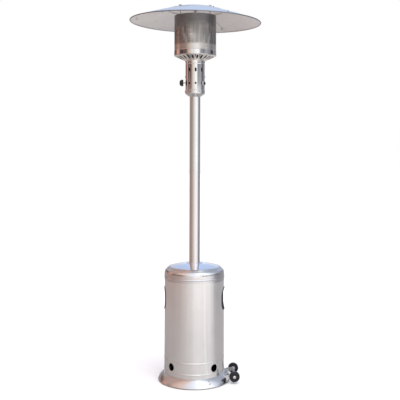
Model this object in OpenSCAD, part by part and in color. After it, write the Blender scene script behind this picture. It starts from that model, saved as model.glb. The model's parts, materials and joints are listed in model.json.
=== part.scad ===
// Gas patio heater of the mushroom kind: a housing round the gas cylinder, a post, a control head,
// a burner in a cylinder-shaped emitter and a three-panel reflector. Origin on the floor, under the
// reflector's centre. The front faces -Y, the wheels are at +X and the control knob is at -X.

/* [Base] */
// How far the base cover stands out past the housing at the floor
base_out = 37; // [24:1:52]
// Height of the seat of the housing over the floor
base_h = 50; // [44:1:64]
// How far the base cover swells out of a straight cone
base_bulge = 4; // [0:0.5:7]
// Radius of the rolled edge of the base cover
base_roll_r = 4; // [2:0.5:5]
// Thickness of the base plate
plate_t = 4; // [3:0.5:6]
// Height of the rubber feet
foot_h = 10; // [9:0.5:14]
// Radius of a rubber foot
foot_r = 15; // [10:0.5:20]

/* [Tank housing] */
// Outer radius of the housing cylinder
housing_r = 178; // [174:1:190]
// Height of the part of the cylinder that shows under the lid
housing_h = 552; // [520:1:620]
// Turn of the housing about the post, in degrees
housing_turn = -3.5; // [-8:0.5:8]
// Thickness of the stainless sheet of the covers
sheet_t = 1.2; // [0.8:0.1:1.6]
// Radius of a vent hole
vent_r = 22.5; // [15:0.5:26]
// Height of the vents over the bottom edge of the housing
vent_rise = 54; // [50:1:60]
// Width of a hand hole
hand_w = 126; // [96:1:126]
// Height of a hand hole
hand_h = 132; // [96:1:150]
// Height of the hand holes' centres over the bottom edge of the housing
hand_rise = 439; // [400:1:450]

/* [Lid] */
// Height of the lid's upright skirt
skirt_h = 33; // [26:1:40]
// Height of the rounded shoulder over the skirt
shoulder_h = 42; // [34:1:50]
// Width of the lid's shoulder round its polished disc
shoulder_w = 27.5; // [23:0.5:40]
// Rise of the polished disc from its edge to the post
disc_rise = 20; // [10:1:26]

/* [Post] */
// Outer radius of the post
post_r = 32; // [28:0.5:35]
// Wall of the post
post_wall = 1.5; // [1:0.1:3]
// Height of the post's foot over the floor
post_z = 637; // [630:1:650]
// Height of the neck of the control head over the floor
neck_z = 1693; // [1500:1:1800]

/* [Control head] */
// Outer radius of the perforated tube
head_r = 58; // [54:0.5:64]
// Length of the perforated tube
head_h = 191; // [175:1:205]
// Number of holes in a row
hole_count = 9; // [6:1:9]
// Radius of a round hole of the lower row
hole_r = 6.2; // [4:0.1:7]
// Height of a tall hole of the upper row
slot_h = 24; // [16:1:30]
// Radius of the control knob
knob_r = 20; // [15:0.5:22]
// Inward travel of the control knob
knob_travel = 4; // [2:0.5:5]
// Radius of the igniter button
button_r = 7.5; // [5:0.1:8]
// Inward travel of the igniter button
button_travel = 5; // [3:0.5:6]

/* [Burner and emitter] */
// Outer radius of the burner pan and its band
pan_r = 127; // [118:1:134]
// Rise of the slotted cone of the pan
pan_rise = 31; // [28:1:44]
// Number of slots in the pan
pan_slots = 24; // [12:1:28]
// Height of the polished band
band_h = 30; // [28:1:40]
// Height of the emitter screen
emitter_h = 226; // [180:1:260]

/* [Reflector] */
// Radius of the reflector at its rim
reflector_r = 395; // [340:1:430]
// Rise from the rim to the edge of the crown
reflector_rise = 69; // [50:1:90]
// How far a panel swells out of a straight cone
reflector_bulge = 3; // [0:0.5:8]
// Radius of the crown
crown_r = 180; // [165:1:200]
// Rise of the crown
crown_rise = 30; // [18:1:50]
// Gap under the reflector's rim from the top of the emitter, as a drop
rim_drop = 40; // [20:1:50]
// Thickness of the reflector sheet
reflector_t = 1.2; // [0.8:0.1:2]
// Tilt of the reflector on its studs, in degrees
reflector_tilt = 1.3; // [0:0.1:2]

/* [Wheels] */
// Radius of a wheel
wheel_r = 31; // [26:0.5:36]
// Width of a wheel
wheel_w = 20; // [14:1:26]
// Distance between the middles of the two wheels
wheel_gap = 176; // [170:1:190]
// Height of the axle over the floor
axle_z = 40; // [38:1:48]
// Radius of the axle
axle_r = 5; // [4:0.5:6]

/* [Hidden] */
$fn = 96;

// Clearances, and the overrun of every cut
fit_gap = 0.3;
slide_gap = 0.8;
run_gap = 0.05;
over = 2;

// Base
base_r = housing_r + base_out;
floor_gap = 2;
roll_z = floor_gap + base_roll_r;
plate_top = foot_h + plate_t;
seat_land = 3;
flare_foot = [base_r, roll_z];
flare_top = [housing_r + seat_land, base_h - fit_gap];
flare_way = flare_top - flare_foot;
flare_out = [flare_way[1], -flare_way[0]] / norm(flare_way);
flare_knee = (flare_foot + flare_top) / 2 + 2 * base_bulge * flare_out;
flare_steps = 12;
spigot_r = housing_r - sheet_t - slide_gap;
spigot_h = 14;
plate_out = 18;
plate_r = housing_r + plate_out;
foot_ring_in = 36;
foot_ring_r = plate_r - foot_ring_in;
foot_count = 4;
foot_first = 45;
tab_count = 3;
tab_first = -63;
tab_t = 2.5;
tab_angle = 18;
tab_foot_angle = 15;
tab_lift = 0.6;
tab_z = foot_h + tab_lift;
tab_from_share = 0.11;
tab_to_share = 0.92;
screw_shares = [0.4, 0.72];
screw_r = 2.5;
screw_head_r = 5;
screw_head_h = 2.6;
screw_len = 6;

// Support legs
leg_count = 3;
leg_first = -90;
leg_w = 30;
leg_t = 4;
leg_in = 8;
leg_r = housing_r - leg_in;
leg_foot_l = 42;
leg_tip_out = 12;
leg_tip_r = post_r + leg_tip_out;
leg_shelf_out = 36;
leg_shelf_r = post_r + leg_shelf_out;
leg_shoulder_drop = 48;
leg_bolt_r = 4;
leg_bolt_head_r = 7.2;
leg_bolt_head_h = 5.5;
leg_nut_h = 6;
flange_t = 5;
flange_out = 38;
flange_r = post_r + flange_out;
flange_z = post_z - flange_t;
flange_bolt_out = 22;
flange_bolt_ring = post_r + flange_bolt_out;
flange_bolt_r = 3;
flange_bolt_head_r = 5.6;
flange_bolt_head_h = 4;
socket_h = 34;
socket_wall = 4.5;
post_screw_r = 3;
post_screw_rise = 20;
post_screw_len = 12;

// Gas supply
tube_r = 5;
tube_wall = 1;
inlet_hex_r = 11;
inlet_hex_h = 12;
inlet_thread_r = 7.9;
inlet_thread_h = 16;
inlet_bore_r = 3;
inlet_drop = 46;
inlet_z = flange_z - inlet_drop;
grommet_r = 12;
grommet_lip = 3;
grommet_lip_h = 2;

// Wheels
axle_out = 23.5;
axle_x = base_r + axle_out;
wheel_bore_r = axle_r + run_gap;
wheel_hub_r = 11;
wheel_tread_bevel = 2.5;
wheel_dish = 3;
wheel_rim = 7;
arm_t = 3;
arm_gap = 1;
arm_y = wheel_gap / 2 - wheel_w / 2 - arm_gap - arm_t;
arm_end_r = 12;
arm_root_h = 26;
arm_root_z = 14;
bracket_edge_w = 3.5;
bracket_angle = 2 * asin((arm_y + arm_t + bracket_edge_w) / base_r);
bracket_t = 2.5;
bracket_from_share = 0.12;
bracket_to_share = 0.85;
bracket_screw_turn = 12;
cap_r = 9;
cap_h = 4;
cap_skin = 1.2;
cap_dome_h = 2;

// Housing
shell_in_r = housing_r - sheet_t;
bead_rises = [23, 88];
bead_out = 1.8;
bead_half_h = 4;
vent_boss_rim = 11;
vent_boss_r = vent_r + vent_boss_rim;
vent_boss_w = 3.5;
vent_boss_out = 1;
vent_first = 45;
vent_count = 4;
hand_round_r = 46;
trim_w = 5;
trim_out = 3.2;
trim_in = 2.4;
lid_z = base_h + housing_h;
lid_r = housing_r + fit_gap + sheet_t;
disc_r = lid_r - shoulder_w;
shell_top = lid_z + skirt_h - sheet_t;
lid_bead_rise = 17;
groove_w = 2;
groove_d = 3;
disc_step = 4;
disc_edge_r = 3;
shoulder_steps = 12;
shoulder_turn_share = 0.7;
ledge_w = 12;
ledge_drop = 11.5;
disc_steps = 8;
lid_bore_r = post_r + slide_gap;
collar_w = 17;
collar_r = post_r + collar_w;
collar_h = 4;
collar_lip_w = 4;
collar_lip_r = post_r + collar_lip_w;
rivet_count = 4;
rivet_first = 45;
rivet_r = 2;
rivet_head_r = 3.6;
rivet_head_h = 1.4;
rivet_rise = 8;
rivet_len = 4;
disc_flat_out = 3;
disc_flat_r = collar_r + disc_flat_out;
disc_foot_z = lid_z + skirt_h + shoulder_h + disc_step - groove_d;
disc_top_z = disc_foot_z + disc_rise;

// Control head
cup_wall = 1;
cup_r = head_r + fit_gap + cup_wall;
cup_rise = 18;
cup_skirt_h = 23;
cup_neck_r = post_r + fit_gap;
head_wall = 1.2;
head_plate_t = 4;
head_plate_z = neck_z + cup_rise + cup_wall;
head_collar_wall = 3;
head_collar_h = 8;
head_z = head_plate_z + head_plate_t;
head_top = head_z + head_h;
head_bead_drop = 8;
head_bead_out = 0.8;
head_bead_half_h = 2.5;
lower_row_rise = 57;
lower_row_z = head_z + lower_row_rise;
row_pitch = 80;
upper_row_z = lower_row_z + row_pitch;
slot_w = 11;
row_first = -86.5;
stem_hole_r = 5;
valve_rise = 4;
valve_z = lower_row_z + valve_rise;
button_turn = -26;
valve_half = [20, 16, 18];
valve_boss_r = 9;
valve_boss_l = 16;
valve_port_r = 9;
valve_port_h = 8;
plunger_r = 6;
plunger_l = 17;
plunger_room = 2;
stem_r = 3.5;
stem_seat_l = 15;
knob_out = 13;
knob_x = head_r + knob_out;
knob_skirt_h = 13;
knob_grip_h = 10;
knob_grip_r = 0.82 * knob_r;
knob_bar_w = 0.42 * knob_r;
knob_bar_h = 2;
knob_bevel = 1.5;
knob_flutes = 10;
knob_flute_r = 2.6;
bridge_t = 2;
bridge_w = 26;
bridge_end_w = 16;
bridge_gap = 1.2;
bridge_r = head_r - head_wall - bridge_gap;
bridge_z = valve_z - valve_half[2] - valve_port_h;
bridge_rise = 44;
bridge_top_z = valve_z + bridge_rise;
bridge_screw_drop = 8;
bridge_screw_z = bridge_top_z - bridge_screw_drop;
igniter_r = 10;
igniter_from_r = 28;
button_head = 8;
bezel_r = 12.2;
bezel_h = 5;
skirt_screw_count = 3;
skirt_screw_rise = 13;
skirt_screw_turn = 20;
switch_size = [14, 10, 18];
switch_y = 27;

// Burner
neck_ring_h = 8;
pan_wall = 1;
pan_z = head_top - neck_ring_h + fit_gap;
pan_neck_z = head_top;
pan_neck_r = head_r + fit_gap + pan_wall;
pan_rim_z = pan_neck_z + pan_rise;
pan_slot_w = 10;
pan_slot_from_share = 0.3;
pan_slot_to_share = 0.82;
band_wall = 1.2;
upstand_h = 14;
upstand_r = pan_r - band_wall - fit_gap;
band_z = pan_rim_z + pan_wall;
sight_w = 15;
sight_h = 22;
sight_first = -127;
sight_count = 4;
emitter_z = pan_rim_z + upstand_h + fit_gap;
emitter_r = upstand_r;
emitter_wall = 0.8;
emitter_top = emitter_z + emitter_h;
top_t = 1.5;
top_lip_h = 10;
jet_r = 7;
jet_h = 14;
jet_bore_r = 0.9;
mixer_r = 13;
mixer_throat_r = 8;
mixer_wall = 1.2;
mixer_leg = 2;
mixer_bell_h = 26;
mixer_port_r = 5;
burner_r = 62;
burner_h = 22;
burner_wall = 1.5;
burner_sink = 14;
burner_z = pan_rim_z - burner_sink;
burner_port_r = 1.6;
burner_port_count = 24;
pilot_turn = -38;
pilot_in = 38;
pilot_x = pan_r - pilot_in;
pilot_rise = 12;
pilot_z = pan_rim_z + pilot_rise;
pilot_gap_y = 9;
lead_x = 0.6 * head_r;
lead_drop = 12;
pilot_tube_r = 2;
probe_r = 1.5;
probe_tip_h = 22;
electrode_r = 1.2;
ceramic_r = 3;
ceramic_h = 16;
elbow_share = 1.3;
hood_r = 6;
hood_h = 14;

// Reflector
stud_count = 3;
stud_first = 90;
stud_ring_r = 102;
stud_r = 3;
stud_hole_room = 3;
stud_hole_r = stud_r + stud_hole_room;
rim_z = emitter_top - rim_drop;
rim_roll_r = 3;
joint_z = rim_z + reflector_rise;
tilt_towards = 18;
tilt_pull = sin(reflector_tilt);
panel_count = 3;
panel_first = 60;
panel_tuck = 13;
panel_in_r = crown_r - panel_tuck;
seam_gap_angle = 0.3;
lap_angle = 3.4;
panel_steps = 10;
crown_steps = 10;
crown_flat_r = 12;
seam_bolt_shares = [0.18, 0.86];
bolt_r = 2.5;
bolt_hole_gap = 0.4;
bolt_head_r = 4.6;
bolt_head_h = 4.5;
bolt_dome_h = 3;
bolt_nut_h = 3.6;
bolt_tail = 2;
crown_bolt_in = 7;
crown_bolt_r = crown_r - crown_bolt_in;
crown_bolt_turn = 60;
crown_grip = 2 * reflector_t + 5 * fit_gap;
crown_seam_turn = 75;
washer_r = 11;
washer_t = 1.6;
nut_r = 5.8;
nut_h = 4;
stud_tail = 2;

function mixed(a, b, t) = a + (b - a) * t;
function reversed(list) = [for (i = [len(list) - 1 : -1 : 0]) list[i]];
// Curve from a to c that is pulled towards b
function bent(a, b, c, t) = (1 - t) * (1 - t) * a + 2 * t * (1 - t) * b + t * t * c;
function bent_path(a, b, c, steps, from = 0, to = 1) =
    [for (i = [0 : steps]) bent(a, b, c, mixed(from, to, i / steps))];
// Unit vector to the left of the way from a to b
function left_of(a, b) = let (d = b - a) [-d[1], d[0]] / norm(d);
// A path moved to its left by t, with its corners kept sharp
function moved(path, t) = [for (i = [0 : len(path) - 1])
    let (last = len(path) - 1,
        n1 = left_of(path[max(i - 1, 0)], path[max(i, 1)]),
        n2 = left_of(path[min(i, last - 1)], path[min(i + 1, last)]),
        m = n1 + n2)
    path[i] + m * t * 2 / (m * m)];
function sheet(path, t) = concat(path, reversed(moved(path, t)));

function flare_at(share) = bent(flare_foot, flare_knee, flare_top, share);
function flare_path(from, to) = bent_path(flare_foot, flare_knee, flare_top, flare_steps, from, to);
// Angle of the way out of the base cover's face, over the horizontal
function flare_lean(share) =
    let (step = 0.01, n = left_of(flare_at(share + step), flare_at(share - step))) atan2(n[1], n[0]);

panel_foot = [reflector_r - rim_roll_r, rim_z + rim_roll_r];
panel_head = [panel_in_r, mixed(rim_z + rim_roll_r, joint_z,
    (reflector_r - panel_in_r) / (reflector_r - crown_r))];
panel_way = panel_head - panel_foot;
panel_out = [panel_way[1], -panel_way[0]] / norm(panel_way);
panel_knee = (panel_foot + panel_head) / 2 + 2 * reflector_bulge * panel_out;
function panel_at(share) = bent(panel_foot, panel_knee, panel_head, share);
function panel_path() = bent_path(panel_foot, panel_knee, panel_head, panel_steps);
function panel_lean(share) =
    let (step = 0.01, n = left_of(panel_at(share + step), panel_at(share - step))) atan2(n[1], n[0]);
// Height of the crown's top face at radius r, with its edge lying on the panels' swell
crown_share = (reflector_r - crown_r) / (reflector_r - panel_in_r);
crown_lift = reflector_t + fit_gap + 4 * reflector_bulge * crown_share * (1 - crown_share);
function crown_top(r) = joint_z + crown_lift + crown_rise * (1 - (r / crown_r) * (r / crown_r));
function crown_lean(r) = 90 - atan(2 * crown_rise * r / (crown_r * crown_r));
// Height of a point of the tilted reflector over the floor, from its place before the tilt
function tilted_z(r, turn, z) = z - r * cos(turn - tilt_towards) * tilt_pull;

module around(count, first = 0) {
    for (i = [0 : count - 1]) rotate([0, 0, first + i * 360 / count]) children();
}
module ring(outer, inner, h) {
    difference() {
        cylinder(r = outer, h = h);
        translate([0, 0, -over]) cylinder(r = inner, h = h + 2 * over);
    }
}
// A cylinder along +X
module bar(r, h) {
    rotate([0, 90, 0]) cylinder(r = r, h = h);
}
module spun(points) {
    rotate_extrude() polygon(points);
}
module spun_part(points, angle) {
    rotate([0, 0, -angle / 2]) rotate_extrude(angle = angle) polygon(points);
}
// Puts a child that points along +X on a face at [r, z] that leans by lean
module on_face(place, lean) {
    translate([place[0], 0, place[1]]) rotate([0, -lean, 0]) children();
}
module screw(shank_r, shank_l, head_r, head_h) {
    translate([-shank_l, 0, 0]) bar(shank_r, shank_l);
    bar(head_r, head_h);
}
// A flat-bottomed oblong hole through a wall, along +X, w wide and h tall
module oblong(w, h, from, to) {
    translate([from, 0, (h - w) / 2]) bar(w / 2, to - from);
    translate([from, 0, -(h - w) / 2]) bar(w / 2, to - from);
    translate([from, -w / 2, -(h - w) / 2]) cube([to - from, w, h - w]);
}
// A run of round tube through points
module tube_run(points, r) {
    for (i = [0 : len(points) - 2]) {
        a = points[i];
        d = points[i + 1] - a;
        translate(a) rotate([0, acos(d[2] / norm(d)), atan2(d[1], d[0])]) cylinder(r = r, h = norm(d));
    }
    for (i = [1 : 1 : len(points) - 2]) translate(points[i]) sphere(r = elbow_share * r);
}
module tilted() {
    translate([0, 0, rim_z]) rotate([0, 0, tilt_towards]) rotate([0, reflector_tilt, 0])
        rotate([0, 0, -tilt_towards]) translate([0, 0, -rim_z]) children();
}

// Base
module leg_turns() {
    around(leg_count, leg_first) children();
}
module tab_turns() {
    around(tab_count, tab_first) children();
}
module flare_screws_at() {
    tab_turns() for (share = screw_shares) on_face(flare_at(share), flare_lean(share)) children();
}
module base_plate() {
    tab_out = moved(flare_path(tab_from_share, tab_to_share), sheet_t + fit_gap);
    tab_foot_r = tab_out[0][0] - tab_t;
    color("dimgray") difference() {
        union() {
            translate([0, 0, foot_h]) cylinder(r = plate_r, h = plate_t);
            tab_turns() {
                spun_part(sheet(tab_out, tab_t), tab_angle);
                spun_part([[plate_r - over, tab_z], [tab_foot_r, tab_z], [tab_foot_r, tab_z + tab_t],
                    [plate_r - over, tab_z + tab_t]], tab_foot_angle);
            }
        }
        flare_screws_at() translate([-screw_len - over, 0, 0])
            bar(screw_r + fit_gap, screw_len + 2 * over);
        leg_turns() translate([leg_r - leg_foot_l / 2, 0, foot_h - over])
            cylinder(r = leg_bolt_r + fit_gap, h = plate_t + 2 * over);
    }
}
module base_flare() {
    path = concat(flare_path(0, 1), [[spigot_r, flare_top[1]], [spigot_r, flare_top[1] + spigot_h]]);
    color("lightsteelblue") difference() {
        union() {
            spun(sheet(path, sheet_t));
            rotate_extrude() translate([base_r - base_roll_r, roll_z]) circle(r = base_roll_r, $fn = 32);
        }
        flare_screws_at() translate([-screw_len - over, 0, 0])
            bar(screw_r + fit_gap, screw_len + 2 * over);
        bracket_screws_at() translate([-screw_len - over, 0, 0])
            bar(screw_r + fit_gap, screw_len + 2 * over);
    }
}
module base_feet() {
    color("black") around(foot_count, foot_first) translate([foot_ring_r, 0, 0])
        cylinder(r = foot_r, h = foot_h);
}
module base_screws() {
    color("gray") flare_screws_at() screw(screw_r, screw_len, screw_head_r, screw_head_h);
}

// Support legs, post and gas supply
module support_leg(i) {
    top_z = flange_z - run_gap;
    path = [[leg_r - leg_foot_l, plate_top], [leg_r, plate_top],
        [leg_r, top_z - leg_shoulder_drop], [leg_shelf_r, top_z], [leg_tip_r, top_z]];
    color("gray") rotate([0, 0, leg_first + i * 360 / leg_count]) difference() {
        rotate([90, 0, 0]) linear_extrude(height = leg_w, center = true) polygon(sheet(path, leg_t));
        translate([leg_r - leg_foot_l / 2, 0, plate_top - over])
            cylinder(r = leg_bolt_r + fit_gap, h = leg_t + 2 * over);
        translate([flange_bolt_ring, 0, flange_z - leg_t - over])
            cylinder(r = flange_bolt_r + fit_gap, h = leg_t + 2 * over);
    }
}
module bolt(r, head_r, head_h, grip, nut_h) {
    cylinder(r = head_r, h = head_h, $fn = 6);
    translate([0, 0, -grip - nut_h]) cylinder(r = r, h = grip + nut_h);
    translate([0, 0, -grip - nut_h]) cylinder(r = head_r, h = nut_h, $fn = 6);
}
module leg_bolts() {
    color("silver") leg_turns() translate([leg_r - leg_foot_l / 2, 0, plate_top + leg_t])
        bolt(leg_bolt_r, leg_bolt_head_r, leg_bolt_head_h, plate_t + leg_t, leg_nut_h);
}
module flange_bolts() {
    grip = flange_t + leg_t + 3 * run_gap;
    color("silver") leg_turns() translate([flange_bolt_ring, 0, post_z + run_gap])
        bolt(flange_bolt_r, flange_bolt_head_r, flange_bolt_head_h, grip, leg_nut_h);
}
module post_flange() {
    color("gray") difference() {
        union() {
            translate([0, 0, flange_z]) cylinder(r = flange_r, h = flange_t);
            translate([0, 0, post_z]) cylinder(r = post_r + fit_gap + socket_wall, h = socket_h);
        }
        translate([0, 0, post_z]) cylinder(r = post_r + fit_gap, h = socket_h + over);
        translate([0, 0, flange_z - over]) cylinder(r = grommet_r, h = flange_t + 2 * over);
        leg_turns() translate([flange_bolt_ring, 0, flange_z - over])
            cylinder(r = flange_bolt_r + fit_gap, h = flange_t + 2 * over);
        post_screws_at() translate([-post_screw_len, 0, 0])
            bar(post_screw_r + fit_gap, post_screw_len + over);
    }
}
module post_screws_at() {
    leg_turns() translate([post_r + fit_gap + socket_wall, 0, post_z + post_screw_rise]) children();
}
module post() {
    color("silver") difference() {
        translate([0, 0, post_z]) ring(post_r, post_r - post_wall, head_plate_z + head_plate_t - post_z);
        post_screws_at() translate([-post_screw_len, 0, 0])
            bar(post_screw_r + fit_gap, post_screw_len + over);
    }
}
module post_screws() {
    color("gray") post_screws_at() screw(post_screw_r, post_screw_len - over,
        flange_bolt_head_r, flange_bolt_head_h);
}
module gas_tube() {
    color("silver") translate([0, 0, inlet_z + inlet_hex_h])
        ring(tube_r, tube_r - tube_wall, bridge_z - inlet_z - inlet_hex_h);
}
module gas_inlet() {
    color("goldenrod") difference() {
        union() {
            translate([0, 0, inlet_z]) cylinder(r = inlet_hex_r, h = inlet_hex_h, $fn = 6);
            translate([0, 0, inlet_z - inlet_thread_h]) cylinder(r = inlet_thread_r, h = inlet_thread_h);
        }
        translate([0, 0, inlet_z - inlet_thread_h - over])
            cylinder(r = inlet_bore_r, h = inlet_thread_h + inlet_hex_h + 2 * over);
    }
}
module tube_grommet() {
    color("black") difference() {
        union() {
            translate([0, 0, flange_z - grommet_lip_h])
                cylinder(r = grommet_r - fit_gap, h = flange_t + 2 * grommet_lip_h);
            translate([0, 0, flange_z - grommet_lip_h])
                cylinder(r = grommet_r + grommet_lip, h = grommet_lip_h);
            translate([0, 0, post_z]) cylinder(r = grommet_r + grommet_lip, h = grommet_lip_h);
        }
        translate([0, 0, flange_z - grommet_lip_h - over])
            cylinder(r = tube_r + run_gap, h = flange_t + 2 * grommet_lip_h + 2 * over);
    }
}

// Wheels
module bracket_screws_at() {
    for (turn = [-bracket_screw_turn, bracket_screw_turn]) rotate([0, 0, turn])
        for (share = screw_shares)
            on_face(flare_at(share) + (bracket_t + fit_gap) * [cos(flare_lean(share)),
                sin(flare_lean(share))], flare_lean(share)) children();
}
module arm_outline() {
    polygon([[housing_r, arm_root_z], [axle_x, axle_z - arm_end_r], [axle_x, axle_z + arm_end_r],
        [housing_r, arm_root_z + arm_root_h]]);
    translate([axle_x, axle_z]) circle(r = arm_end_r);
}
module wheel_bracket() {
    hug = moved(flare_path(bracket_from_share, bracket_to_share), -fit_gap);
    body = moved(flare_path(0, 1), -fit_gap);
    color("silver") difference() {
        union() {
            spun_part(sheet(hug, -bracket_t), bracket_angle);
            for (side = [-1, 1]) translate([0, side * (arm_y + arm_t / 2), 0]) rotate([90, 0, 0])
                linear_extrude(height = arm_t, center = true) arm_outline();
        }
        spun(concat([[0, 0], [body[0][0], 0]], body, [[housing_r + slide_gap, base_h],
            [housing_r + slide_gap, base_h + housing_h], [0, base_h + housing_h]]));
        bracket_screws_at() translate([-screw_len - over, 0, 0])
            bar(screw_r + fit_gap, screw_len + 2 * over);
        translate([axle_x, wheel_gap, axle_z]) rotate([90, 0, 0])
            cylinder(r = axle_r, h = 2 * wheel_gap);
    }
}
module bracket_screws() {
    color("gray") bracket_screws_at() screw(screw_r, screw_len, screw_head_r, screw_head_h);
}
module across(y) {
    translate([axle_x, y, axle_z]) rotate([-90, 0, 0]) children();
}
axle_l = wheel_gap + wheel_w + 2 * cap_h;
module axle() {
    color("silver") across(-axle_l / 2) cylinder(r = axle_r, h = axle_l);
}
module axle_caps() {
    color("gainsboro") for (side = [-1, 1]) across(side * (axle_l / 2 - cap_h + fit_gap))
        mirror([0, 0, side < 0 ? 1 : 0]) difference() {
            union() {
                cylinder(r = cap_r, h = cap_h + cap_skin);
                translate([0, 0, cap_h + cap_skin]) cylinder(r1 = cap_r, r2 = cap_r / 2, h = cap_dome_h);
            }
            translate([0, 0, -over]) cylinder(r = axle_r, h = cap_h - fit_gap + over);
        }
}
module wheel(y) {
    half = wheel_w / 2;
    color("#202020") across(y) spun([[wheel_bore_r, -half], [wheel_hub_r, -half],
        [wheel_hub_r, wheel_dish - half], [wheel_r - wheel_rim, wheel_dish - half],
        [wheel_r - wheel_rim, -half], [wheel_r - wheel_tread_bevel, -half],
        [wheel_r, wheel_tread_bevel - half], [wheel_r, half - wheel_tread_bevel],
        [wheel_r - wheel_tread_bevel, half], [wheel_r - wheel_rim, half],
        [wheel_r - wheel_rim, half - wheel_dish], [wheel_hub_r, half - wheel_dish],
        [wheel_hub_r, half], [wheel_bore_r, half]]);
}
module wheel_front() {
    wheel(-wheel_gap / 2);
}
module wheel_back() {
    wheel(wheel_gap / 2);
}

// Tank housing
module bead(r, z, out, half_h) {
    spun([[r - sheet_t / 2, z - half_h], [r, z - half_h], [r + out, z - half_h / 3],
        [r + out, z + half_h / 3], [r, z + half_h], [r - sheet_t / 2, z + half_h]]);
}
module vents_at() {
    around(vent_count, housing_turn + vent_first) translate([0, 0, base_h + vent_rise]) children();
}
// Puts a cutter along +X where it starts halfway to the wall of the housing
module through_shell() {
    translate([housing_r / 2, 0, 0]) children();
}
module hand_turns() {
    for (turn = [0, 180]) rotate([0, 0, housing_turn + turn])
        translate([0, 0, base_h + hand_rise]) children();
}
// Rounded outline of a hand hole, grown by extra, as a block along +X
module hand_block(extra, from, to) {
    w = hand_w / 2 + extra;
    h = hand_h / 2 + extra;
    r = hand_round_r + extra;
    translate([from, 0, 0]) rotate([0, 90, 0]) linear_extrude(height = to - from) {
        for (x = [-1, 1], y = [-1, 1]) translate([x * (h - r), y * (w - r)]) circle(r = r);
        square([2 * h, 2 * (w - r)], center = true);
        square([2 * (h - r), 2 * w], center = true);
    }
}
module housing_shell() {
    color("silver") difference() {
        union() {
            translate([0, 0, base_h]) ring(housing_r, shell_in_r, shell_top - base_h);
            difference() {
                for (rise = bead_rises) bead(housing_r, base_h + rise, bead_out, bead_half_h);
                vents_at() through_shell() bar(vent_boss_r, housing_r);
            }
            intersection() {
                translate([0, 0, base_h]) ring(housing_r + vent_boss_out, shell_in_r, 2 * vent_rise);
                vents_at() through_shell() difference() {
                    bar(vent_boss_r, housing_r);
                    translate([-over, 0, 0]) bar(vent_boss_r - vent_boss_w, housing_r + 2 * over);
                }
            }
        }
        vents_at() through_shell() bar(vent_r, housing_r);
        hand_turns() hand_block(0, housing_r / 2, 2 * housing_r);
        lid_rivets_at() translate([-rivet_len - over, 0, 0])
            bar(rivet_r + fit_gap, rivet_len + 2 * over);
    }
}
module housing_lid() {
    skirt_top = lid_z + skirt_h;
    groove_z = skirt_top + shoulder_h - groove_d;
    ledge_z = skirt_top + shoulder_h - ledge_drop;
    ledge_r = disc_r + groove_w + ledge_w;
    shoulder = bent_path([lid_r, skirt_top], [lid_r, mixed(skirt_top, ledge_z, shoulder_turn_share)],
        [ledge_r + groove_w, ledge_z], shoulder_steps);
    dome = bent_path([disc_r - disc_edge_r, disc_foot_z], [disc_r / 2, disc_top_z],
        [disc_flat_r, disc_top_z], disc_steps);
    path = concat([[lid_r, lid_z]], shoulder, [[ledge_r, ledge_z],
        [disc_r + groove_w, skirt_top + shoulder_h], [disc_r + groove_w, groove_z], [disc_r, groove_z],
        [disc_r, disc_foot_z - disc_edge_r]], dome, [[lid_bore_r, disc_top_z]]);
    color("lightsteelblue") difference() {
        union() {
            spun(sheet(path, sheet_t));
            bead(lid_r, lid_z + lid_bead_rise, bead_out, bead_half_h);
        }
        lid_rivets_at() translate([-rivet_len - over, 0, 0])
            bar(rivet_r + fit_gap, rivet_len + 2 * over);
    }
}
module lid_collar() {
    color("silver") translate([0, 0, disc_top_z]) spun([[lid_bore_r, 0], [collar_r, 0],
        [collar_r, collar_h / 3], [collar_lip_r, collar_h], [lid_bore_r, collar_h]]);
}
module hand_hole_trims() {
    color("black") hand_turns() intersection() {
        difference() {
            hand_block(-fit_gap, housing_r / 2, 2 * housing_r);
            hand_block(-trim_w, housing_r / 2 - over, 2 * housing_r + over);
        }
        translate([0, 0, -hand_h]) ring(housing_r + trim_out, shell_in_r - trim_in, 2 * hand_h);
    }
}
module lid_rivets_at() {
    around(rivet_count, housing_turn + rivet_first) translate([lid_r, 0, lid_z + rivet_rise]) children();
}
module lid_rivets() {
    color("silver") lid_rivets_at() screw(rivet_r, rivet_len, rivet_head_r, rivet_head_h);
}

// Control head
module row_turns(z) {
    around(hole_count, row_first) translate([0, 0, z]) children();
}
// Puts a cutter along +X across the wall of the perforated tube
module through_head() {
    translate([head_r - head_wall - over, 0, 0]) children();
}
module cup_screws_at() {
    around(skirt_screw_count, row_first + skirt_screw_turn)
        translate([cup_r, 0, head_plate_z + skirt_screw_rise]) children();
}
module bridge_screws_at() {
    for (turn = [0, 180]) rotate([0, 0, turn]) translate([head_r, 0, bridge_screw_z]) children();
}
module head_cup() {
    path = [[cup_r, neck_z + cup_rise + cup_skirt_h], [cup_r, neck_z + cup_rise], [cup_neck_r, neck_z]];
    color("silver") difference() {
        spun(sheet(path, -cup_wall));
        translate([0, 0, neck_z - over]) cylinder(r = cup_neck_r, h = cup_rise);
        cup_screws_at() translate([-screw_len, 0, 0]) bar(screw_r + fit_gap, screw_len + over);
    }
}
module head_plate() {
    color("gray") difference() {
        union() {
            translate([0, 0, head_plate_z]) cylinder(r = head_r, h = head_plate_t);
            translate([0, 0, head_plate_z - head_collar_h])
                cylinder(r = post_r + run_gap + head_collar_wall, h = head_collar_h);
        }
        translate([0, 0, head_plate_z - head_collar_h - over])
            cylinder(r = post_r + run_gap, h = head_collar_h + head_plate_t + 2 * over);
    }
}
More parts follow.
